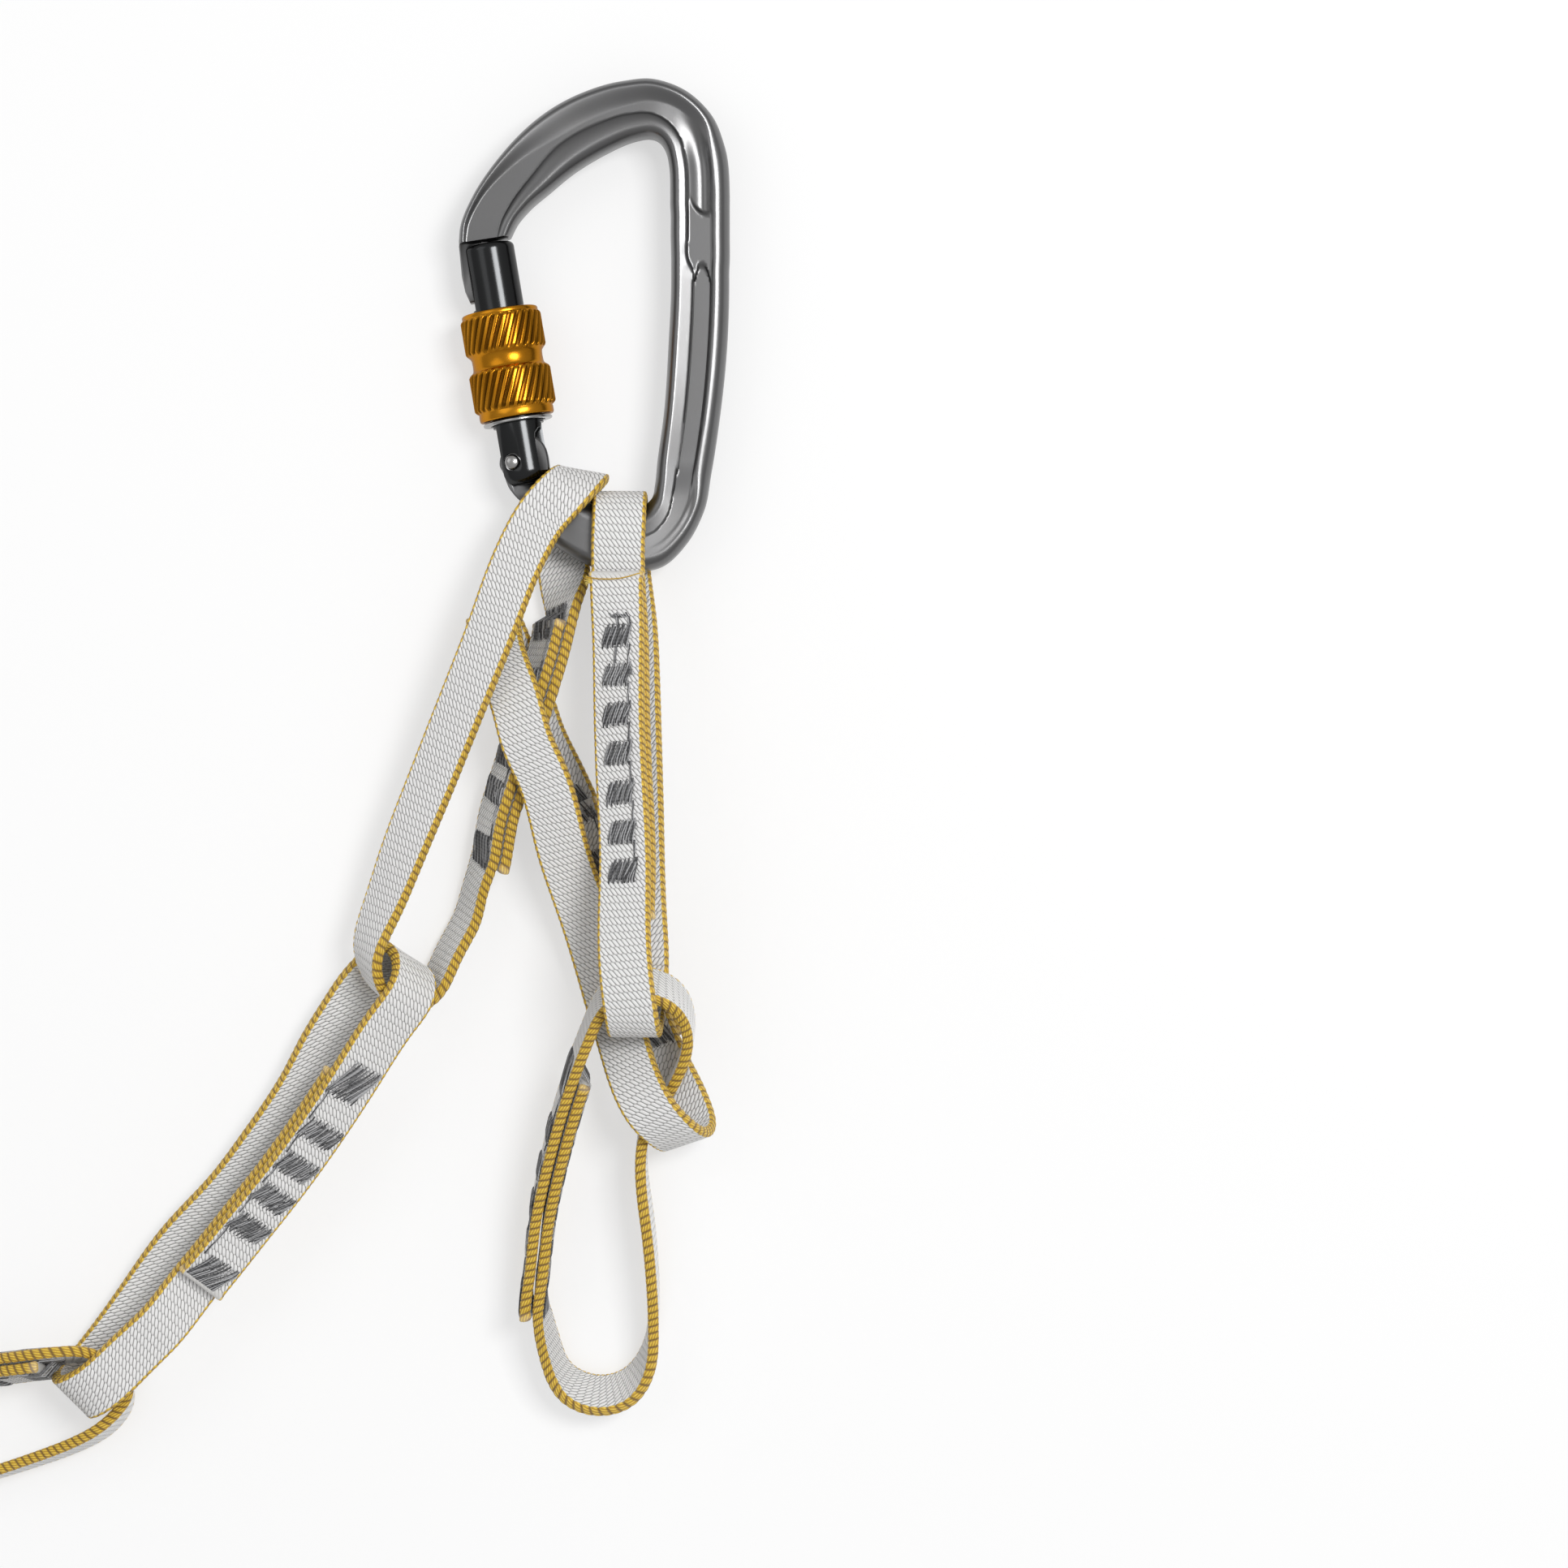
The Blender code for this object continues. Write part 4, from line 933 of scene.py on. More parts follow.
@dataclass
class WebbingLoop:
    """One length of webbing, once round and on under its own start, with its sewn bars."""

    name: str
    points: list
    sewing: Sewing
    seed: int
    width: float = 11.0
    thickness: float = 2.2
    edge: float = 0.62
    edge_squareness: float = 0.8
    crown: float = 0.02
    layer_step: float = 2.65
    ramp: float = 14.0
    ring_step: float = 0.375
    face_columns: int = 39
    edge_columns: int = 9
    end_rings: tuple = ((0.55, 0.42), (0.86, 0.26))
    end_taper: float = 0.9
    melt_length: float = 1.1
    melt_strength: float = 1.3
    melt_swelling: tuple = (0.035, 0.10)
    face_relief: float = 0.17
    edge_relief: float = 0.16
    wander: float = 0.06
    pressed_in: float = 0.16
    press_margin: float = 0.3
    thread_radius: float = 0.155
    thread_pitch: float = 0.27
    thread_rise: float = 0.26
    thread_sink: float = 0.07
    thread_pile: float = 0.07
    thread_bow: float = 0.05
    thread_curl: float = 0.10
    inner_lean: float = 0.40
    bite: float = 1.25
    overhang: float = 0.35
    first_start: float = 0.5
    shortest: float = 0.5
    jitter: float = 0.08
    drift: float = 0.10
    carry_inset: float = 0.42
    carry_gap: float = 0.14
    carry_lap: float = 0.5
    line_inset: float = 0.1
    yarn_radius: float = 0.13
    route: Route = field(init=False)

    def __post_init__(self) -> None:
        """Measure the route."""
        self.route = Route(self.points, self.layer_step, self.ramp)

    def section(self) -> tuple:
        """The tape's outline.

        Returns:
            Points across and outwards, their directions, and each point's edge share.
        """
        flat, half = self.width / 2 - self.edge, self.thickness / 2
        v = np.linspace(-flat, flat, self.face_columns + 1)
        turn = np.linspace(math.pi / 2, -math.pi / 2, self.edge_columns + 2)[1:-1]
        top = np.stack([v, half + self.crown * (1 - (v / flat) ** 2)], 1)
        side = np.stack([flat + self.edge * np.cos(turn) ** self.edge_squareness,
                         half * np.sin(turn)], 1)
        up = np.tile([0.0, 1.0], (len(v), 1))
        side_out = np.stack([np.cos(turn), np.sin(turn) * 0.6], 1)
        rim = np.tile(np.repeat([0.0, 1.0], (len(v), len(turn))), 2)
        outline = np.concatenate([top, side, -top, -side])
        return outline, unit(np.concatenate([up, side_out, -up, -side_out])), rim

    def pressed(self, at: np.ndarray, v: np.ndarray, outer: np.ndarray) -> np.ndarray:
        """Find where the thread of the bars presses a face in.

        Args:
            at: Length along the tape of each point.
            v: Distance of each point from the middle line.
            outer: Whether each point is on the outer face.

        Returns:
            1 under the bars and 0 beside them.
        """
        def within(distance: np.ndarray, half: float) -> np.ndarray:
            """1 up to half a length or width from the middle, and 0 soon after."""
            margin = self.press_margin
            return np.clip((half + margin - np.abs(distance)) / (2 * margin), 0, 1)

        local = np.where(outer, at, at - self.route.perimeter)
        bars = [within(local - centre, length / 2) for centre, length in self.sewing.bars]
        return np.max(bars, axis=0) * within(v, self.sewing.width / 2)

    def tape(self) -> bpy.types.Object:
        """Weave the tape: a closed strip whose floats and edge bundles are raised by a node tree.

        Returns:
            The tape as a plain mesh.
        """
        total = self.route.perimeter + self.sewing.overlap
        at = np.concatenate([[0.0, 0.0], np.arange(0, total, self.ring_step), [total] * 3])
        middle, along, across, out = self.route.frames(at)
        middle = middle + out * self.route.layer_offset(at)[:, None]
        to_end = np.minimum(at, total - at)
        melt = np.clip(self.melt_strength - to_end / self.melt_length, 0, 1)[:, None]
        outline, facing, rim = self.section()
        count, sides = len(at), len(outline)
        wide, high = outline.T
        size, push = np.ones((count, 1)), np.zeros((count, 1))
        for ring, (share, reach) in enumerate(self.end_rings):
            size[ring] = size[-1 - ring] = share
            push[ring], push[-1 - ring] = -reach, reach
        wider, thicker = (1 + swelling * melt for swelling in self.melt_swelling)
        spread = wide * wider - np.sign(wide) * (1 - size) * self.end_taper
        depth = high * size * thicker
        rings = (middle[:, None] + spread[..., None] * across[:, None]
                 + depth[..., None] * out[:, None] + (push * along)[:, None])
        outward = facing[:, :1] * across[:, None] + facing[:, 1:] * out[:, None]
        lengths, v, outer = np.repeat(at, sides), np.tile(wide, count), np.tile(high > 0, count)
        piece = solid(self.name + "_webbing", rings, {
            "along": lengths, "across": v, "rim": np.tile(rim, count),
            "through": np.tile(high / (self.thickness / 2), count),
            "melt": np.repeat(melt[:, 0], sides), "outward": outward.reshape(-1, 3),
            "pressed": self.pressed(lengths, v, outer)})
        inputs = {"Face Relief": self.face_relief, "Edge Relief": self.edge_relief,
                  "Wander": self.wander, "Pressed In": self.pressed_in}
        return grow(piece, "raise_weave_" + self.name, inputs, self.raise_weave, Finish.WEBBING)

    @staticmethod
    def raise_weave(g: Graph, shape: Signal, inputs: dict) -> Signal:
        """Raise the floats on the faces and the bundles on the edges.

        Args:
            g: The tree's graph.
            shape: The smooth strip.
            inputs: Face Relief, Edge Relief, Wander and Pressed In, in millimetres.

        Returns:
            The woven strip.
        """
        along, across, rim = stored(g, "along"), stored(g, "across"), stored(g, "rim")
        plain, pressed = 1 - stored(g, "melt"), stored(g, "pressed")
        grain = WEAVE.grain(along, across) * 0.75 + WEAVE.row_swell(along) * 0.25 - 0.8
        rib = WEAVE.rib(along, stored(g, "through")) - 0.8
        amount = (grain * inputs["Face Relief"] * (1 - rim) * (1 - pressed * 0.6)
                  + rib * inputs["Edge Relief"] * rim) * plain
        amount = amount + (g.noise(160.0, 1) - 0.5) * inputs["Wander"]
        return raised(g, shape, amount - pressed * inputs["Pressed In"])

    def strokes(self, side: int, rng: np.random.Generator) -> list:
        """Every stroke of thread on one face.

        Args:
            side: 1 for the outer face and -1 for the inner one.
            rng: The source of the face's random numbers.

        Returns:
            Start and end of each stroke, as (length, across) pairs.
        """
        first_start = self.first_start if side > 0 else -math.inf
        half, tooth, bars = self.sewing.width / 2, self.sewing.tooth, self.sewing.bars
        lean = self.sewing.lean if side > 0 else self.inner_lean
        found = []
        for number, (centre, length) in enumerate(bars, 1):
            run = lean * (length - self.bite)
            low, high = centre - length / 2, centre + length / 2
            for v in np.arange(-half + self.line_inset, half, self.thread_pitch):
                a, b = v + run / 2, v - run / 2
                near = self.bite * abs(2 * ((a / tooth) % 1) - 1)
                far = self.bite * abs(2 * ((b / tooth + 0.5) % 1) - 1)
                start = low - self.overhang + near + rng.normal(0, self.jitter)
                start = max(start, first_start)
                end = high + self.overhang - far + rng.normal(0, self.jitter)
                drift = rng.normal(0, self.drift)
                if end > start + self.shortest:
                    a, b = np.clip([a + drift, b - drift], -half, half)
                    found.append(((start, a), (end, b)))
            if number < len(bars):
                following = bars[number][0] - bars[number][1] / 2
                carry = half - self.carry_inset
                found += [((high - self.carry_lap, carry + line),
                           (following + self.carry_lap, carry - line))
                          for line in (-self.carry_gap, self.carry_gap)]
        if self.sewing is NARROW and side > 0:
            found += StartRow().strokes(self.thread_pitch, rng) + STRAY_STROKES
        return found

    def stitching(self, side: int, face: str) -> bpy.types.Object:
        """Sew the bars on one face.

        Args:
            side: 1 for the outer face and -1 for the inner one.
            face: The face's name, which ends the piece's name.

        Returns:
            The sewing as a plain mesh.
        """
        rng = np.random.default_rng(self.seed * 10 + side)
        ends = np.array(self.strokes(side, rng))
        share = np.array([0.0, 0.05, 0.18, 0.5, 0.82, 0.95, 1.0])
        count, step = len(ends), len(share)
        at, v = (ends[:, 0, k, None] + (ends[:, 1, k] - ends[:, 0, k])[:, None] * share
                 for k in (0, 1))
        at = at.ravel()
        v = v + (rng.normal(0, self.thread_bow, (count, 1)) * np.sin(math.pi * share)
                 + self.thread_curl * np.sin(2 * math.pi * share))
        lift = self.thread_rise * (1 - np.abs(2 * share - 1) ** 7) - self.thread_sink
        high = self.thickness / 2 + lift + rng.uniform(0, self.thread_pile, (count, 1))
        where = at if side > 0 else at + self.route.perimeter
        middle, _, across, out = self.route.frames(where)
        depth = side * high.ravel()
        if side < 0:
            sewn = at < self.sewing.overlap + 0.2
            depth = depth + np.where(sewn, self.route.layer_offset(where), 0.0)
        points = middle + across * v.reshape(-1, 1) + out * depth[:, None]
        # A random tone for each stroke, and every other stroke painted lighter as sheen.
        shade = rng.uniform(0, 0.55, count) + 0.45 * (np.arange(count) % 2)
        return self.spin(f"{self.name}_sewing_{face}", points, [step] * count,
                         {"shade": np.repeat(shade, step), "run": at},
                         {"Thread Radius": self.thread_radius, "Sides": 5}, Finish.THREAD)

    def spin(self, label: str, points: np.ndarray, counts: list, layers: dict, inputs: dict,
             finish: Finish) -> bpy.types.Object:
        """Lay thin lines, which a node tree makes into round thread.

        Args:
            label: The piece's name.
            points: The points of all lines, in millimetres.
            counts: The number of points of each line.
            layers: Each point's shade, and its place along the twist as run.
            inputs: Thread Radius in millimetres and Sides of its section.
            finish: The thread's finish.

        Returns:
            The thread as a plain mesh.
        """
        edges, start = [], 0
        for count in counts:
            edges += [(k, k + 1) for k in range(start, start + count - 1)]
            start += count
        mesh = bpy.data.meshes.new(label)
        mesh.from_pydata(points * MM, edges, [])
        store(mesh, layers)
        piece = grow(add_piece(label, mesh), "round_" + label, inputs, self.round_thread, finish)
        piece.data.shade_smooth()
        return piece

    @staticmethod
    def round_thread(g: Graph, shape: Signal, inputs: dict) -> Signal:
        """Turn lines into round thread.

        Args:
            g: The tree's graph.
            shape: The lines.
            inputs: Thread Radius in millimetres and Sides of its section.

        Returns:
            The thread's surface.
        """
        lines = g.signal("GeometryNodeMeshToCurve", {"Mesh": shape})
        ring = g.signal("GeometryNodeCurvePrimitiveCircle",
                        {"Resolution": inputs["Sides"], "Radius": inputs["Thread Radius"] * MM})
        return g.signal("GeometryNodeCurveToMesh",
                        {"Curve": lines, "Profile Curve": ring, "Fill Caps": True})

    def loose_yarn(self) -> bpy.types.Object:
        """Lay the yellow yarn that came loose along the outer layer's cut end, with its tuft.

        Returns:
            The yarn as a plain mesh.
        """
        lines = [LOOSE_YARN] + [
            [(1.0 + 0.2 * k, -5.1, 1.22), (0.7 + 0.35 * k, -5.8 - 0.1 * k, 1.0 - 0.1 * k),
             (0.5 + 0.45 * k, -6.5 + 0.15 * abs(k - 2), 0.4 - 0.1 * k)] for k in range(5)]
        at, v, high = np.concatenate(lines).T
        middle, _, across, out = self.route.frames(at)
        return self.spin(self.name + "_loose_yarn",
                         middle + across * v[:, None] + out * high[:, None], list(map(len, lines)),
                         {"shade": np.linspace(0.3, 0.9, len(at)), "run": v},
                         {"Thread Radius": self.yarn_radius, "Sides": 6}, Finish.YARN)

    def build(self) -> None:
        """Make the tape and the sewing on its two faces."""
        if self.sewing is NARROW:
            dress(self.loose_yarn(), Finish.YARN, self.name, "tape")
        dress(self.tape(), Finish.WEBBING, self.name, "tape", self.name + "_tape")
        for side, face in ((1, "outer"), (-1, "inner")):
            dress(self.stitching(side, face), Finish.THREAD, self.name, "thread",
                  f"{self.name}_stitching_{face}")


# Carabiner

def blend_step(value: np.ndarray, low: float, high: float) -> np.ndarray:
    """Rise smoothly from 0 at low to 1 at high."""
    share = np.clip((value - low) / (high - low), 0, 1)
    return share * share * (3 - 2 * share)


def smooth_outline(outline: list, steps: int) -> np.ndarray:
    """Round a closed outline through its points.

    Args:
        outline: Its points in plan.
        steps: Number of points for each of them.

    Returns:
        The points of the round outline.
    """
    table = np.array(outline)
    a, b, c, d = (np.roll(table, -k, 0)[:, None] for k in (-1, 0, 1, 2))
    s = (np.arange(steps) / steps)[:, None]
    return (0.5 * (2 * b + (c - a) * s + (2 * a - 5 * b + 4 * c - d) * s ** 2
                   + (3 * b - a - 3 * c + d) * s ** 3)).reshape(-1, 2)


def pin(name: str, profile: list, sides: int = 48) -> bpy.types.Object:
    """Turn a profile about the rivet's upright axis.

    Args:
        name: The piece's name.
        profile: Its (radius, height) points.
        sides: Points round the axis.

    Returns:
        The piece.
    """
    turn = np.arange(sides) * 2 * math.pi / sides
    rings = [level(np.column_stack([RIVET[0] + r * np.cos(turn), RIVET[1] + r * np.sin(turn)]),
                   z + MID_HEIGHT) for r, z in profile]
    return solid(name, np.array(rings) - PLAN_CENTRE, sharp=40)


def rivet_hole(radius: float = 1.75, reach: float = 8.0) -> bpy.types.Object:
    """The rod that cuts the rivet's hole."""
    return pin("rivet_hole", [(radius, -reach), (radius, reach)])


@dataclass
class CarabinerBody:
    """The forged body: hooked nose, I-section arm and spine, plain basket, and the hinge's tang."""

    step: float = 0.55
    half_sides: int = 65
    crowding: float = 0.35
    tip_size: tuple = (0.93, 0.93, 0.90)
    tongue_half: float = 2.0
    tang_half: float = 2.1
    bevel_size: float = 0.94
    bevel_height: float = 0.3
    edge_height: float = 0.24
    edge_roundness: float = 2.2
    outer_drop: float = 0.90
    arm_end: float = 47.0
    arm_shallowness: float = 0.25
    bead_fall: float = 0.88
    spine_start: float = 59.0
    spine_slope: tuple = (0.24, 0.72)
    panel_slope: tuple = (0.28, 0.20)
    slope_change: tuple = (-1.5, 0.5)
    scoop_depth: float = 1.0
    scoop_lip: float = 116.1
    scoop_reach: float = 3.9
    scoop_hook: float = 3.3
    scoop_skew: float = 1.35
    scoop_flatness: float = 0.9
    scoop_wall: float = 0.9
    scoop_fade: tuple = (51.0, 63.0)
    scoop_until: float = 89.0
    scoop_side: float = -30.0
    panel_depth: float = 0.8
    panel_top: float = 106.0
    panel_arch: float = 4.5
    panel_roundness: float = 2.4
    panel_end: float = 58.0
    panel_rise: float = 9.0
    panel_blend: float = 0.35
    panel_side: float = -17.0
    panel_walls: tuple = ((0.0, 0.03), (0.01, 0.05))
    # Width of the lighter crest lines, partly rubbed metal and partly painted highlight.
    wear_and_highlight_width: float = 0.025

    def stations(self) -> tuple:
        """The measured stations with more between them, on a curve paced by their distance.

        Returns:
            One row for each section, and how far along the body each one is.
        """
        table = np.array([[*inner, *outer, *rest] for inner, outer, *rest in BODY_STATIONS])
        middle = (table[:, 0:2] + table[:, 2:4]) / 2
        gap = np.linalg.norm(np.diff(middle, axis=0), axis=1)[:, None]
        slope = np.diff(table, axis=0) / gap
        inside = (slope[:-1] * gap[1:] + slope[1:] * gap[:-1]) / (gap[:-1] + gap[1:])
        tangent = np.concatenate([slope[:1], inside, slope[-1:]])
        rows, travelled, start = [], [], 0.0
        for i, h in enumerate(gap[:, 0]):
            count = math.ceil(h / self.step)
            for s in np.arange(count) / count:
                share = s * s * (3 - 2 * s)
                rows.append((1 + 2 * s) * (1 - s) ** 2 * table[i] + share * table[i + 1]
                            + s * (1 - s) * h * ((1 - s) * tangent[i] - s * tangent[i + 1]))
                travelled.append(start + s * h)
            start += h
        return np.array(rows + [table[-1]]), np.array(travelled + [start])

    def top_height(self, row: np.ndarray, travelled: float, share: np.ndarray,
                   y: np.ndarray) -> tuple:
        """Height of the upper surface across one section.

        Args:
            row: The station's values.
            travelled: How far along the body it is.
            share: Places from the inner edge, 0, to the outer one, 1.
            y: Plan y of those places.

        Returns:
            The height at each place, and how much its crest lines are lightened there, partly as
            rubbed metal and partly as painted highlight.
        """
        half, crest_in, foot_in, foot_out, crest_out, depth = row[4:10]
        reach = np.minimum(share / crest_in, (1 - share) / (1 - crest_out))
        round_edge = (1 - (1 - np.clip(reach, 0, 1)) ** self.edge_roundness) ** 0.5
        height = half * (self.edge_height + (1 - self.edge_height) * round_edge)
        arm = 1 - float(blend_step(travelled, self.arm_end, self.spine_start))
        down = np.clip((share - crest_in) / (foot_in - crest_in), 0, 1)
        fall = self.bead_fall
        bead = (1 - (1 - fall * down ** self.edge_roundness) ** 0.5) / (1 - (1 - fall) ** 0.5)
        change = (self.panel_top + shift for shift in self.slope_change)
        bevel = 1 - float(blend_step(row[1], *change))
        gentle, knee = (a + b * bevel for a, b in zip(self.spine_slope, self.panel_slope))
        slope = gentle * np.clip(down / knee, 0, 1) + (1 - gentle) * blend_step(down, knee, 1.0)
        wall_in = arm * bead + (1 - arm) * slope
        up = np.clip((crest_out - share) / (crest_out - foot_out), 0, 1)
        wall_out = 0.5 * up + 0.5 * blend_step(up, 0.0, 1.0)
        height = height - depth * (1 - self.arm_shallowness * arm) * wall_in * wall_out
        drop = self.outer_drop * (1 - arm) * min(depth, 1.0)
        height = height - drop * blend_step(share, foot_out, crest_out)
        across = np.clip((share - foot_in) / (foot_out - foot_in), 0, 1)
        if travelled < self.scoop_until and row[2] > self.scoop_side:
            tail = self.scoop_lip + self.scoop_reach * (1 - across) ** self.scoop_hook
            bowl = np.clip(np.sin(math.pi * across ** self.scoop_skew), 0, 1)
            bowl = bowl ** self.scoop_flatness
            depth_here = self.scoop_depth * float(blend_step(travelled, *self.scoop_fade))
            height = height - depth_here * bowl * blend_step(y, tail, tail + self.scoop_wall)
        if row[2] > self.panel_side:
            bend = np.abs(2 * across - 1) ** self.panel_roundness
            arch = self.panel_top - self.panel_arch * bend
            left, right = (blend_step(place, *wall)
                           for place, wall in zip((across, 1 - across), self.panel_walls))
            below = 1 - blend_step(y, arch - self.panel_blend, arch + self.panel_blend)
            above = blend_step(y, self.panel_end, self.panel_end + self.panel_rise)
            sunk = left * right * below * above
            height = height - self.panel_depth * sunk
        # Crest lines, lighter in the finish: partly rubbed metal, partly painted highlight; the
        # arm's inner crest is left out.
        wear_and_highlight = (np.exp(-((share - crest_in) / self.wear_and_highlight_width) ** 2) * (1 - arm)
                + np.exp(-((share - crest_out) / self.wear_and_highlight_width) ** 2)) * min(depth, 1.0)
        return height, wear_and_highlight

    def forging(self) -> bpy.types.Object:
        """Loft the body's bar.

        Returns:
            The bar, with a layer along its crests that lightens them, partly as rubbed metal and
            partly as painted highlight.
        """
        turn = np.linspace(0, math.pi, self.half_sides)
        share = (self.crowding * (1 - np.cos(turn)) / 2
                 + (1 - self.crowding) * np.linspace(0, 1, self.half_sides))
        rings, worn_and_highlight = [], []
        rows, travelled = self.stations()
        for row, place in zip(rows, travelled):
            plan = row[0:2] + (row[2:4] - row[0:2]) * share[:, None]
            height, wear_and_highlight = self.top_height(row, place, share, plan[:, 1])
            upper, lower = (np.column_stack([plan, side * height]) for side in (1, -1))
            rings.append(np.concatenate([upper, lower[::-1]]))
            worn_and_highlight.append(np.concatenate([wear_and_highlight, wear_and_highlight[::-1]]))
        middle = rings[0].mean(axis=0)
        tip = middle + (rings[0] - middle) * self.tip_size
        rings[0] = rings[0] + np.append((rows[1][:2] - rows[0][:2]) * 0.5, 0.0)
        wear_and_highlight = np.clip(np.concatenate([worn_and_highlight[0], *worn_and_highlight]), 0, 1)
        where = np.array([tip, *rings]) - PLAN_CENTRE + (0, 0, MID_HEIGHT)
        return solid("carabiner_forging", where, {"wear_and_highlight": wear_and_highlight}, 50)

    def plate(self, name: str, outline: list, half: float) -> bpy.types.Object:
        """Make a plate with bevelled rims.

        Args:
            name: The plate's name.
            outline: Its outline in plan.
            half: Half its thickness.

        Returns:
            The plate.
        """
        table = np.array(outline)
        centre, small, straight = table.mean(axis=0), self.bevel_size, half - self.bevel_height
        rings = [level(centre + (table - centre) * size, z) for z, size in
                 ((-half, small), (-straight, 1.0), (straight, 1.0), (half, small))]
        return solid(name, np.array(rings) - PLAN_CENTRE + (0, 0, MID_HEIGHT), sharp=35)

    def build(self) -> None:
        """Make the body with its tongue, tang and rivet hole."""
        piece = self.forging()
        lean = np.array(Matrix.Rotation(GATE_LEAN, 2))
        tongue = self.plate("nose_tongue", TONGUE_OUTLINE, self.tongue_half)
        tang = self.plate("hinge_tang", smooth_outline(TANG_OUTLINE, 6) @ lean.T + RIVET,
                          self.tang_half)
        hole = rivet_hole()
        combine(piece, "UNION", tongue, tang)
        combine(piece, "DIFFERENCE", hole)
        dress(freeze(piece, tongue, tang, hole), Finish.BODY, "carabiner", "aluminium",
              "carabiner_body")


@dataclass
class Gate:
    """The gate: barrel, rivet, screw sleeve and ring, built in the gate's own directions."""

    axis_x: float = 2.3
    radius: float = 5.2
    bottom: float = -4.9
    top: float = 45.0
    slot_half: float = 2.5
    nose_slot_half: float = 2.4
    softness: float = 0.12
    soft_segments: int = 2
    soft_angle: float = 45.0
    sharp_angle: float = 38.0
    bands: tuple = ((10.75, 11.25, 18.5, 19.0), (22.75, 23.2, 29.7, 30.2))
    neck: float = 7.2
    grooves: int = 30
    groove_depth: float = 0.50
    slant: float = 0.393 / 7.6
    sleeve_columns: int = 360

    def placed(self, points: np.ndarray) -> np.ndarray:
        """Put points of the leaning gate where they are in the model.

        Args:
            points: Points in the gate's own directions, in millimetres from its rivet.

        Returns:
            The same points in the model, in millimetres.
        """
        c, s = math.cos(GATE_LEAN), math.sin(GATE_LEAN)
        x, y, z = np.moveaxis(points, -1, 0)
        plan = [x * c - y * s + RIVET[0], x * s + y * c + RIVET[1], z + MID_HEIGHT]
        return np.stack(plan, -1) - PLAN_CENTRE

    def turned(self, name: str, profile: list, sides: int, offset: float = 0.0,
               closed: bool = False, sharp: float = 35.0, layers: Callable | None = None,
               slant: float = 0.0) -> bpy.types.Object:
        """Turn a profile of (radius, y) about the barrel's direction.

        Args:
            name: The piece's name.
            profile: The profile.
            sides: Points round the axis.
            offset: How far the axis lies beside the barrel's.
            closed: Whether the profile closes on itself.
            sharp: Angle from which edges are sharp.
            layers: Makes point layers from radius, y and angle.
            slant: Angle by which the rows of points turn for each millimetre of y.

        Returns:
            The piece.
        """
        radius, y = (np.repeat(column[:, None], sides, 1) for column in np.array(profile).T)
        angle = np.arange(sides) * 2 * math.pi / sides + slant * y
        x = self.axis_x + offset + radius * np.sin(angle)
        where = self.placed(np.stack([x, y, radius * np.cos(angle)], -1))
        found = layers(radius.ravel(), y.ravel(), angle.ravel()) if layers else None
        return solid(name, where, found, sharp, closed)

    def block(self, name: str, outline: list, low: float, high: float) -> bpy.types.Object:
        """A cutting block from an outline in gate directions and its two heights."""
        rings = np.array([level(np.array(outline), z) for z in (low, high)])
        return solid(name, self.placed(rings), sharp=35)

    def barrel(self) -> None:
        """Make the barrel with its two slots, its bore and the rivet's hole."""
        r, lo, hi = self.radius, self.bottom, self.top
        profile = [(2.4, lo), (3.4, lo + 0.12), (4.1, lo + 0.45), (4.65, lo + 0.95),
                   (5.0, lo + 1.6), (r, lo + 2.5), (r, lo + 2.9), (r, 8.0), (r, 20.0), (r, 30.0),
                   (r, 40.0), (r, hi - 1.3), (r, hi - 0.9), (r - 0.12, hi - 0.5),
                   (r - 0.42, hi - 0.16), (r - 0.85, hi)]
        piece = self.turned("gate_tube", profile, 96)
        hinge_slot = [(-9, -9), (12, -9), (12, 6.2), (7.9, 7.4), (4.0, 7.4), (-9, 7.4)]
        nose_slot = [(-9, 31.4), (1.6, 32.2), (1.6, 50), (-9, 50)]
        cuts = [self.block("hinge_slot", hinge_slot, -self.slot_half, self.slot_half),
                self.block("nose_slot", nose_slot, -self.nose_slot_half, self.nose_slot_half),
                self.turned("bore", [(2.3, 6.0), (2.3, 23.6)], 32, offset=0.7),
                self.block("tang_notch", NOTCH_OUTLINE, -self.slot_half, self.radius + 1),
                rivet_hole()]
        combine(piece, "DIFFERENCE", *cuts)
        soften = piece.modifiers.new("soften", "BEVEL")
        soften.width, soften.segments = self.softness * MM, self.soft_segments
        soften.limit_method, soften.angle_limit = "ANGLE", math.radians(self.soft_angle)
        freeze(piece, *cuts)
        piece.data.shade_smooth()
        piece.data.set_sharp_from_angle(angle=math.radians(self.sharp_angle))
        dress(piece, Finish.BARREL, "gate", "gunmetal", "gate_barrel")

    def hinge_pin(self) -> None:
        """Make the rivet, with a shallow dome on each head."""
        arc = [(0.05, 4.98), (0.5, 4.95), (0.95, 4.84), (1.28, 4.66), (1.46, 4.42), (1.5, 4.2)]
        piece = pin("hinge_pin", [(r, -z) for r, z in arc] + arc[::-1])
        dress(piece, Finish.STEEL, "carabiner", "steel", "hinge_rivet")

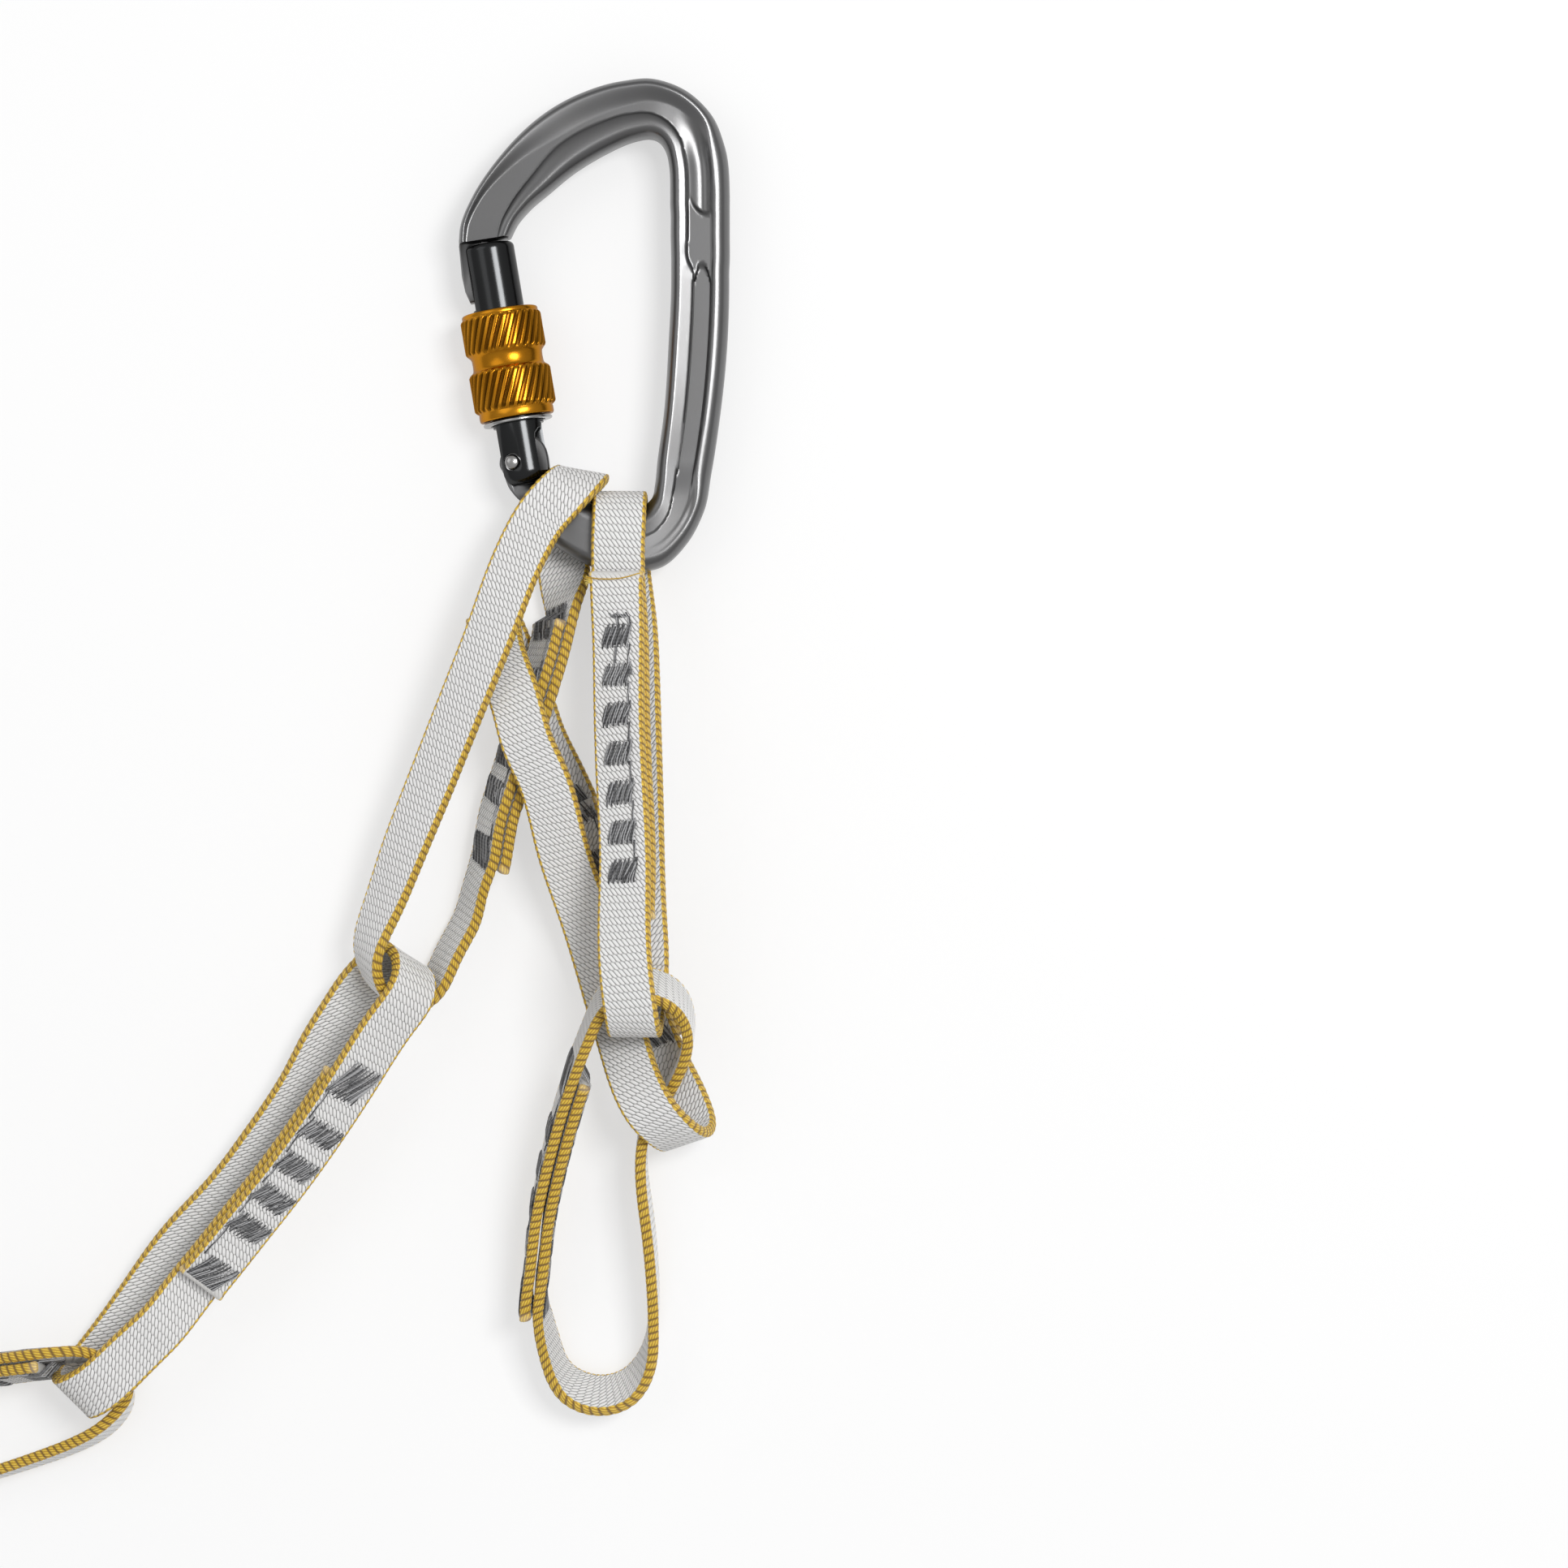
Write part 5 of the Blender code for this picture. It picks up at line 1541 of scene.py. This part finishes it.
    def sleeve_layers(self, radius: np.ndarray, y: np.ndarray, angle: np.ndarray) -> dict:
        """Work out what the sleeve's node tree and finish read.

        Args:
            radius: Distance of each point from the axis.
            y: Its place along the axis.
            angle: Its angle about the axis.

        Returns:
            Angle, height, share of a grooved band, outward direction, and depth in a cut, which the
            finish paints as shade.
        """
        band = np.max([blend_step(y, a, b) * (1 - blend_step(y, c, d))
                       for a, b, c, d in self.bands], axis=0) * (radius > self.neck)
        out = np.column_stack([np.sin(angle), np.zeros(len(angle)), np.cos(angle)])
        turn = (angle - self.slant * y) * self.grooves / (2 * math.pi)
        # How deep in a cut each point lies; the finish paints it as shade.
        groove_shade = blend_step(np.abs(np.mod(turn, 1) * 2 - 1), 0.34, 0.60)
        return {"angle": angle, "height": y, "band": band, "groove_shade": band * groove_shade,
                "outward": self.placed(out) - self.placed(np.zeros(3))}

    def sleeve(self) -> None:
        """Make the screw sleeve, whose two bands of slanted grooves are cut by a node tree."""
        outside = [(7.1, 8.95), (7.42, 9.02), (7.6, 9.2), (7.66, 9.5), (7.66, 10.35), (7.62, 10.5),
                   (7.60, 10.7), (7.75, 10.85), (8.0, 11.05), (8.3, 11.35), (8.4, 11.6)]
        outside += [(8.4, y) for y in np.linspace(11.9, 18.1, 22)]
        outside += [(8.4, 18.4), (8.2, 18.75), (7.95, 19.0), (7.62, 19.25), (7.4, 19.5),
                    (7.28, 19.9), (7.24, 20.85), (7.28, 21.8), (7.4, 22.2), (7.62, 22.45),
                    (7.85, 22.7), (8.12, 23.0), (8.3, 23.35)]
        outside += [(8.3, y) for y in np.linspace(23.6, 29.3, 20)]
        outside += [(8.3, 29.6), (8.15, 29.95), (7.95, 30.15), (7.82, 30.3), (7.84, 30.5),
                    (7.82, 30.85), (7.7, 31.05), (7.5, 31.15)]
        inside = [(7.05, 31.15), (6.95, 31.0), (6.95, 18.6), (5.7, 17.6), (5.65, 17.4), (5.65, 9.1),
                  (5.8, 8.95)]
        piece = self.turned("screw_sleeve", outside + inside, self.sleeve_columns, closed=True,
                            sharp=30.0, layers=self.sleeve_layers, slant=self.slant)
        inputs = {"Grooves": float(self.grooves), "Depth": self.groove_depth, "Slant": self.slant}
        piece = grow(piece, "cut_grooves", inputs, self.cut_grooves, Finish.SLEEVE)
        dress(piece, Finish.SLEEVE, "sleeve", "orange", "locking_sleeve")

    @staticmethod
    def cut_grooves(g: Graph, shape: Signal, inputs: dict) -> Signal:
        """Cut slanted grooves round the sleeve.

        Args:
            g: The tree's graph.
            shape: The smooth sleeve.
            inputs: Grooves round it, Depth in millimetres and Slant in radians for each millimetre.

        Returns:
            The grooved sleeve.
        """
        turn = stored(g, "angle") - stored(g, "height") * inputs["Slant"]
        place = (turn * inputs["Grooves"] / (2 * math.pi)).zigzag()
        line = 1 - abs(place - 0.16).step(0.0, 0.10)
        cut = (place.step(0.36, 0.66) + line * 0.14) * inputs["Depth"]
        return raised(g, shape, cut * stored(g, "band") * -1)

    def ring(self) -> None:
        """Make the bright ring under the sleeve."""
        profile = [(5.65, 8.12), (5.77, 8.0), (6.9, 8.0), (7.05, 8.08), (7.1, 8.2), (7.1, 8.42),
                   (7.05, 8.54), (6.9, 8.6), (5.77, 8.6), (5.65, 8.5)]
        piece = self.turned("sleeve_stop_ring", profile, 96, closed=True)
        dress(piece, Finish.STEEL, "thread_ring", "steel", "sleeve_ring")

    def build(self) -> None:
        """Make the whole gate and finish the plunger and spring inside it."""
        self.barrel()
        self.hinge_pin()
        self.sleeve()
        self.ring()
        for node, finish in (("gate_plunger", Finish.STEEL), ("gate_spring", Finish.SPRING)):
            item = bpy.data.objects[node]
            for slot in item.material_slots:
                slot.material = finish.material()
            LOG.info("%s: new finish", node)


# Studio

@dataclass(frozen=True)
class Lamp:
    """One soft lamp: place, aim and size in metres, and its power in watts."""

    name: str
    place: tuple
    aim: tuple
    size: tuple
    power: float

    def build(self) -> None:
        """Hang the lamp and turn it to its aim."""
        data = bpy.data.lights.new(self.name, "AREA")
        data.shape, data.size, data.size_y = "RECTANGLE", *self.size
        data.energy = self.power
        lamp = bpy.data.objects.new(self.name, data)
        lamp.location = self.place
        way = Vector(self.aim) - Vector(self.place)
        lamp.rotation_euler = way.to_track_quat("-Z", "Y").to_euler()
        bpy.context.collection.objects.link(lamp)


@dataclass
class Studio:
    """Table, sky, lamps and the camera straight above."""

    camera_place: tuple = (0.1279, 0.0021, 0.950)
    lens: float = 105.5
    sensor_width: float = 36.0
    clip_start: float = 0.01
    table_half: float = 3.0
    table_gap: float = 0.0002
    zenith: float = 0.55
    horizon: float = 0.42
    lamps: tuple = (
        Lamp("key_lamp", (0.58, 0.27, 1.15), (0.08, 0.03, 0.0), (0.34, 0.48), 9.0),
        Lamp("fill_lamp", (-0.45, 0.30, 0.70), (0.05, 0.0, 0.0), (0.5, 0.5), 0.7),
    )

    def table(self) -> None:
        """Lay the table under the chain."""
        mesh = bpy.data.meshes.new("table")
        corners = [(x * self.table_half, y * self.table_half, -self.table_gap)
                   for x, y in ((-1, -1), (1, -1), (1, 1), (-1, 1))]
        mesh.from_pydata(corners, [], [(0, 1, 2, 3)])
        mesh.materials.append(Finish.TABLE.material())
        add_piece("table", mesh)

    def sky(self) -> None:
        """Light the room evenly, a little brighter overhead, with a white view past the table."""
        world = bpy.data.worlds.new("studio_sky")
        world.use_nodes = True
        bpy.context.scene.world = world
        g = Graph(world.node_tree)
        way = g.signal("ShaderNodeTexCoord", None, "Generated")
        up = g.signal("ShaderNodeSeparateXYZ", {0: way}, 2)
        level_here = up.step(0.0, 0.9) * (self.zenith - self.horizon) + self.horizon
        seen = g.ray("Camera")
        back = world.node_tree.nodes["Background"]
        back.inputs["Color"].default_value = (1, 1, 1, 1)
        g.plug(back.inputs["Strength"], level_here * (1 - seen) + seen)

    def camera(self) -> None:
        """Hang the camera straight above the middle of the view."""
        data = bpy.data.cameras.new("camera")
        data.lens, data.sensor_width = self.lens, self.sensor_width
        data.clip_start = self.clip_start
        camera = bpy.data.objects.new("camera", data)
        camera.location = self.camera_place
        bpy.context.collection.objects.link(camera)
        bpy.context.scene.camera = camera

    def build(self) -> None:
        """Set the studio up."""
        self.table()
        self.sky()
        for lamp in self.lamps:
            lamp.build()
        self.camera()
        bpy.context.scene.view_settings.view_transform = "Standard"


def main() -> None:
    """Build the chain in the order of its parts, then the studio."""
    logging.basicConfig(level=logging.INFO, format="%(message)s")
    CarabinerBody().build()
    Gate().build()
    for seed, points in enumerate((LOOP_1, LOOP_2, LOOP_3, LOOP_4, LOOP_5, LOOP_6), 1):
        WebbingLoop(f"loop_{seed}", points, NARROW if seed == 1 else WIDE, seed).build()
    Studio().build()


if __name__ == "__main__":
    main()
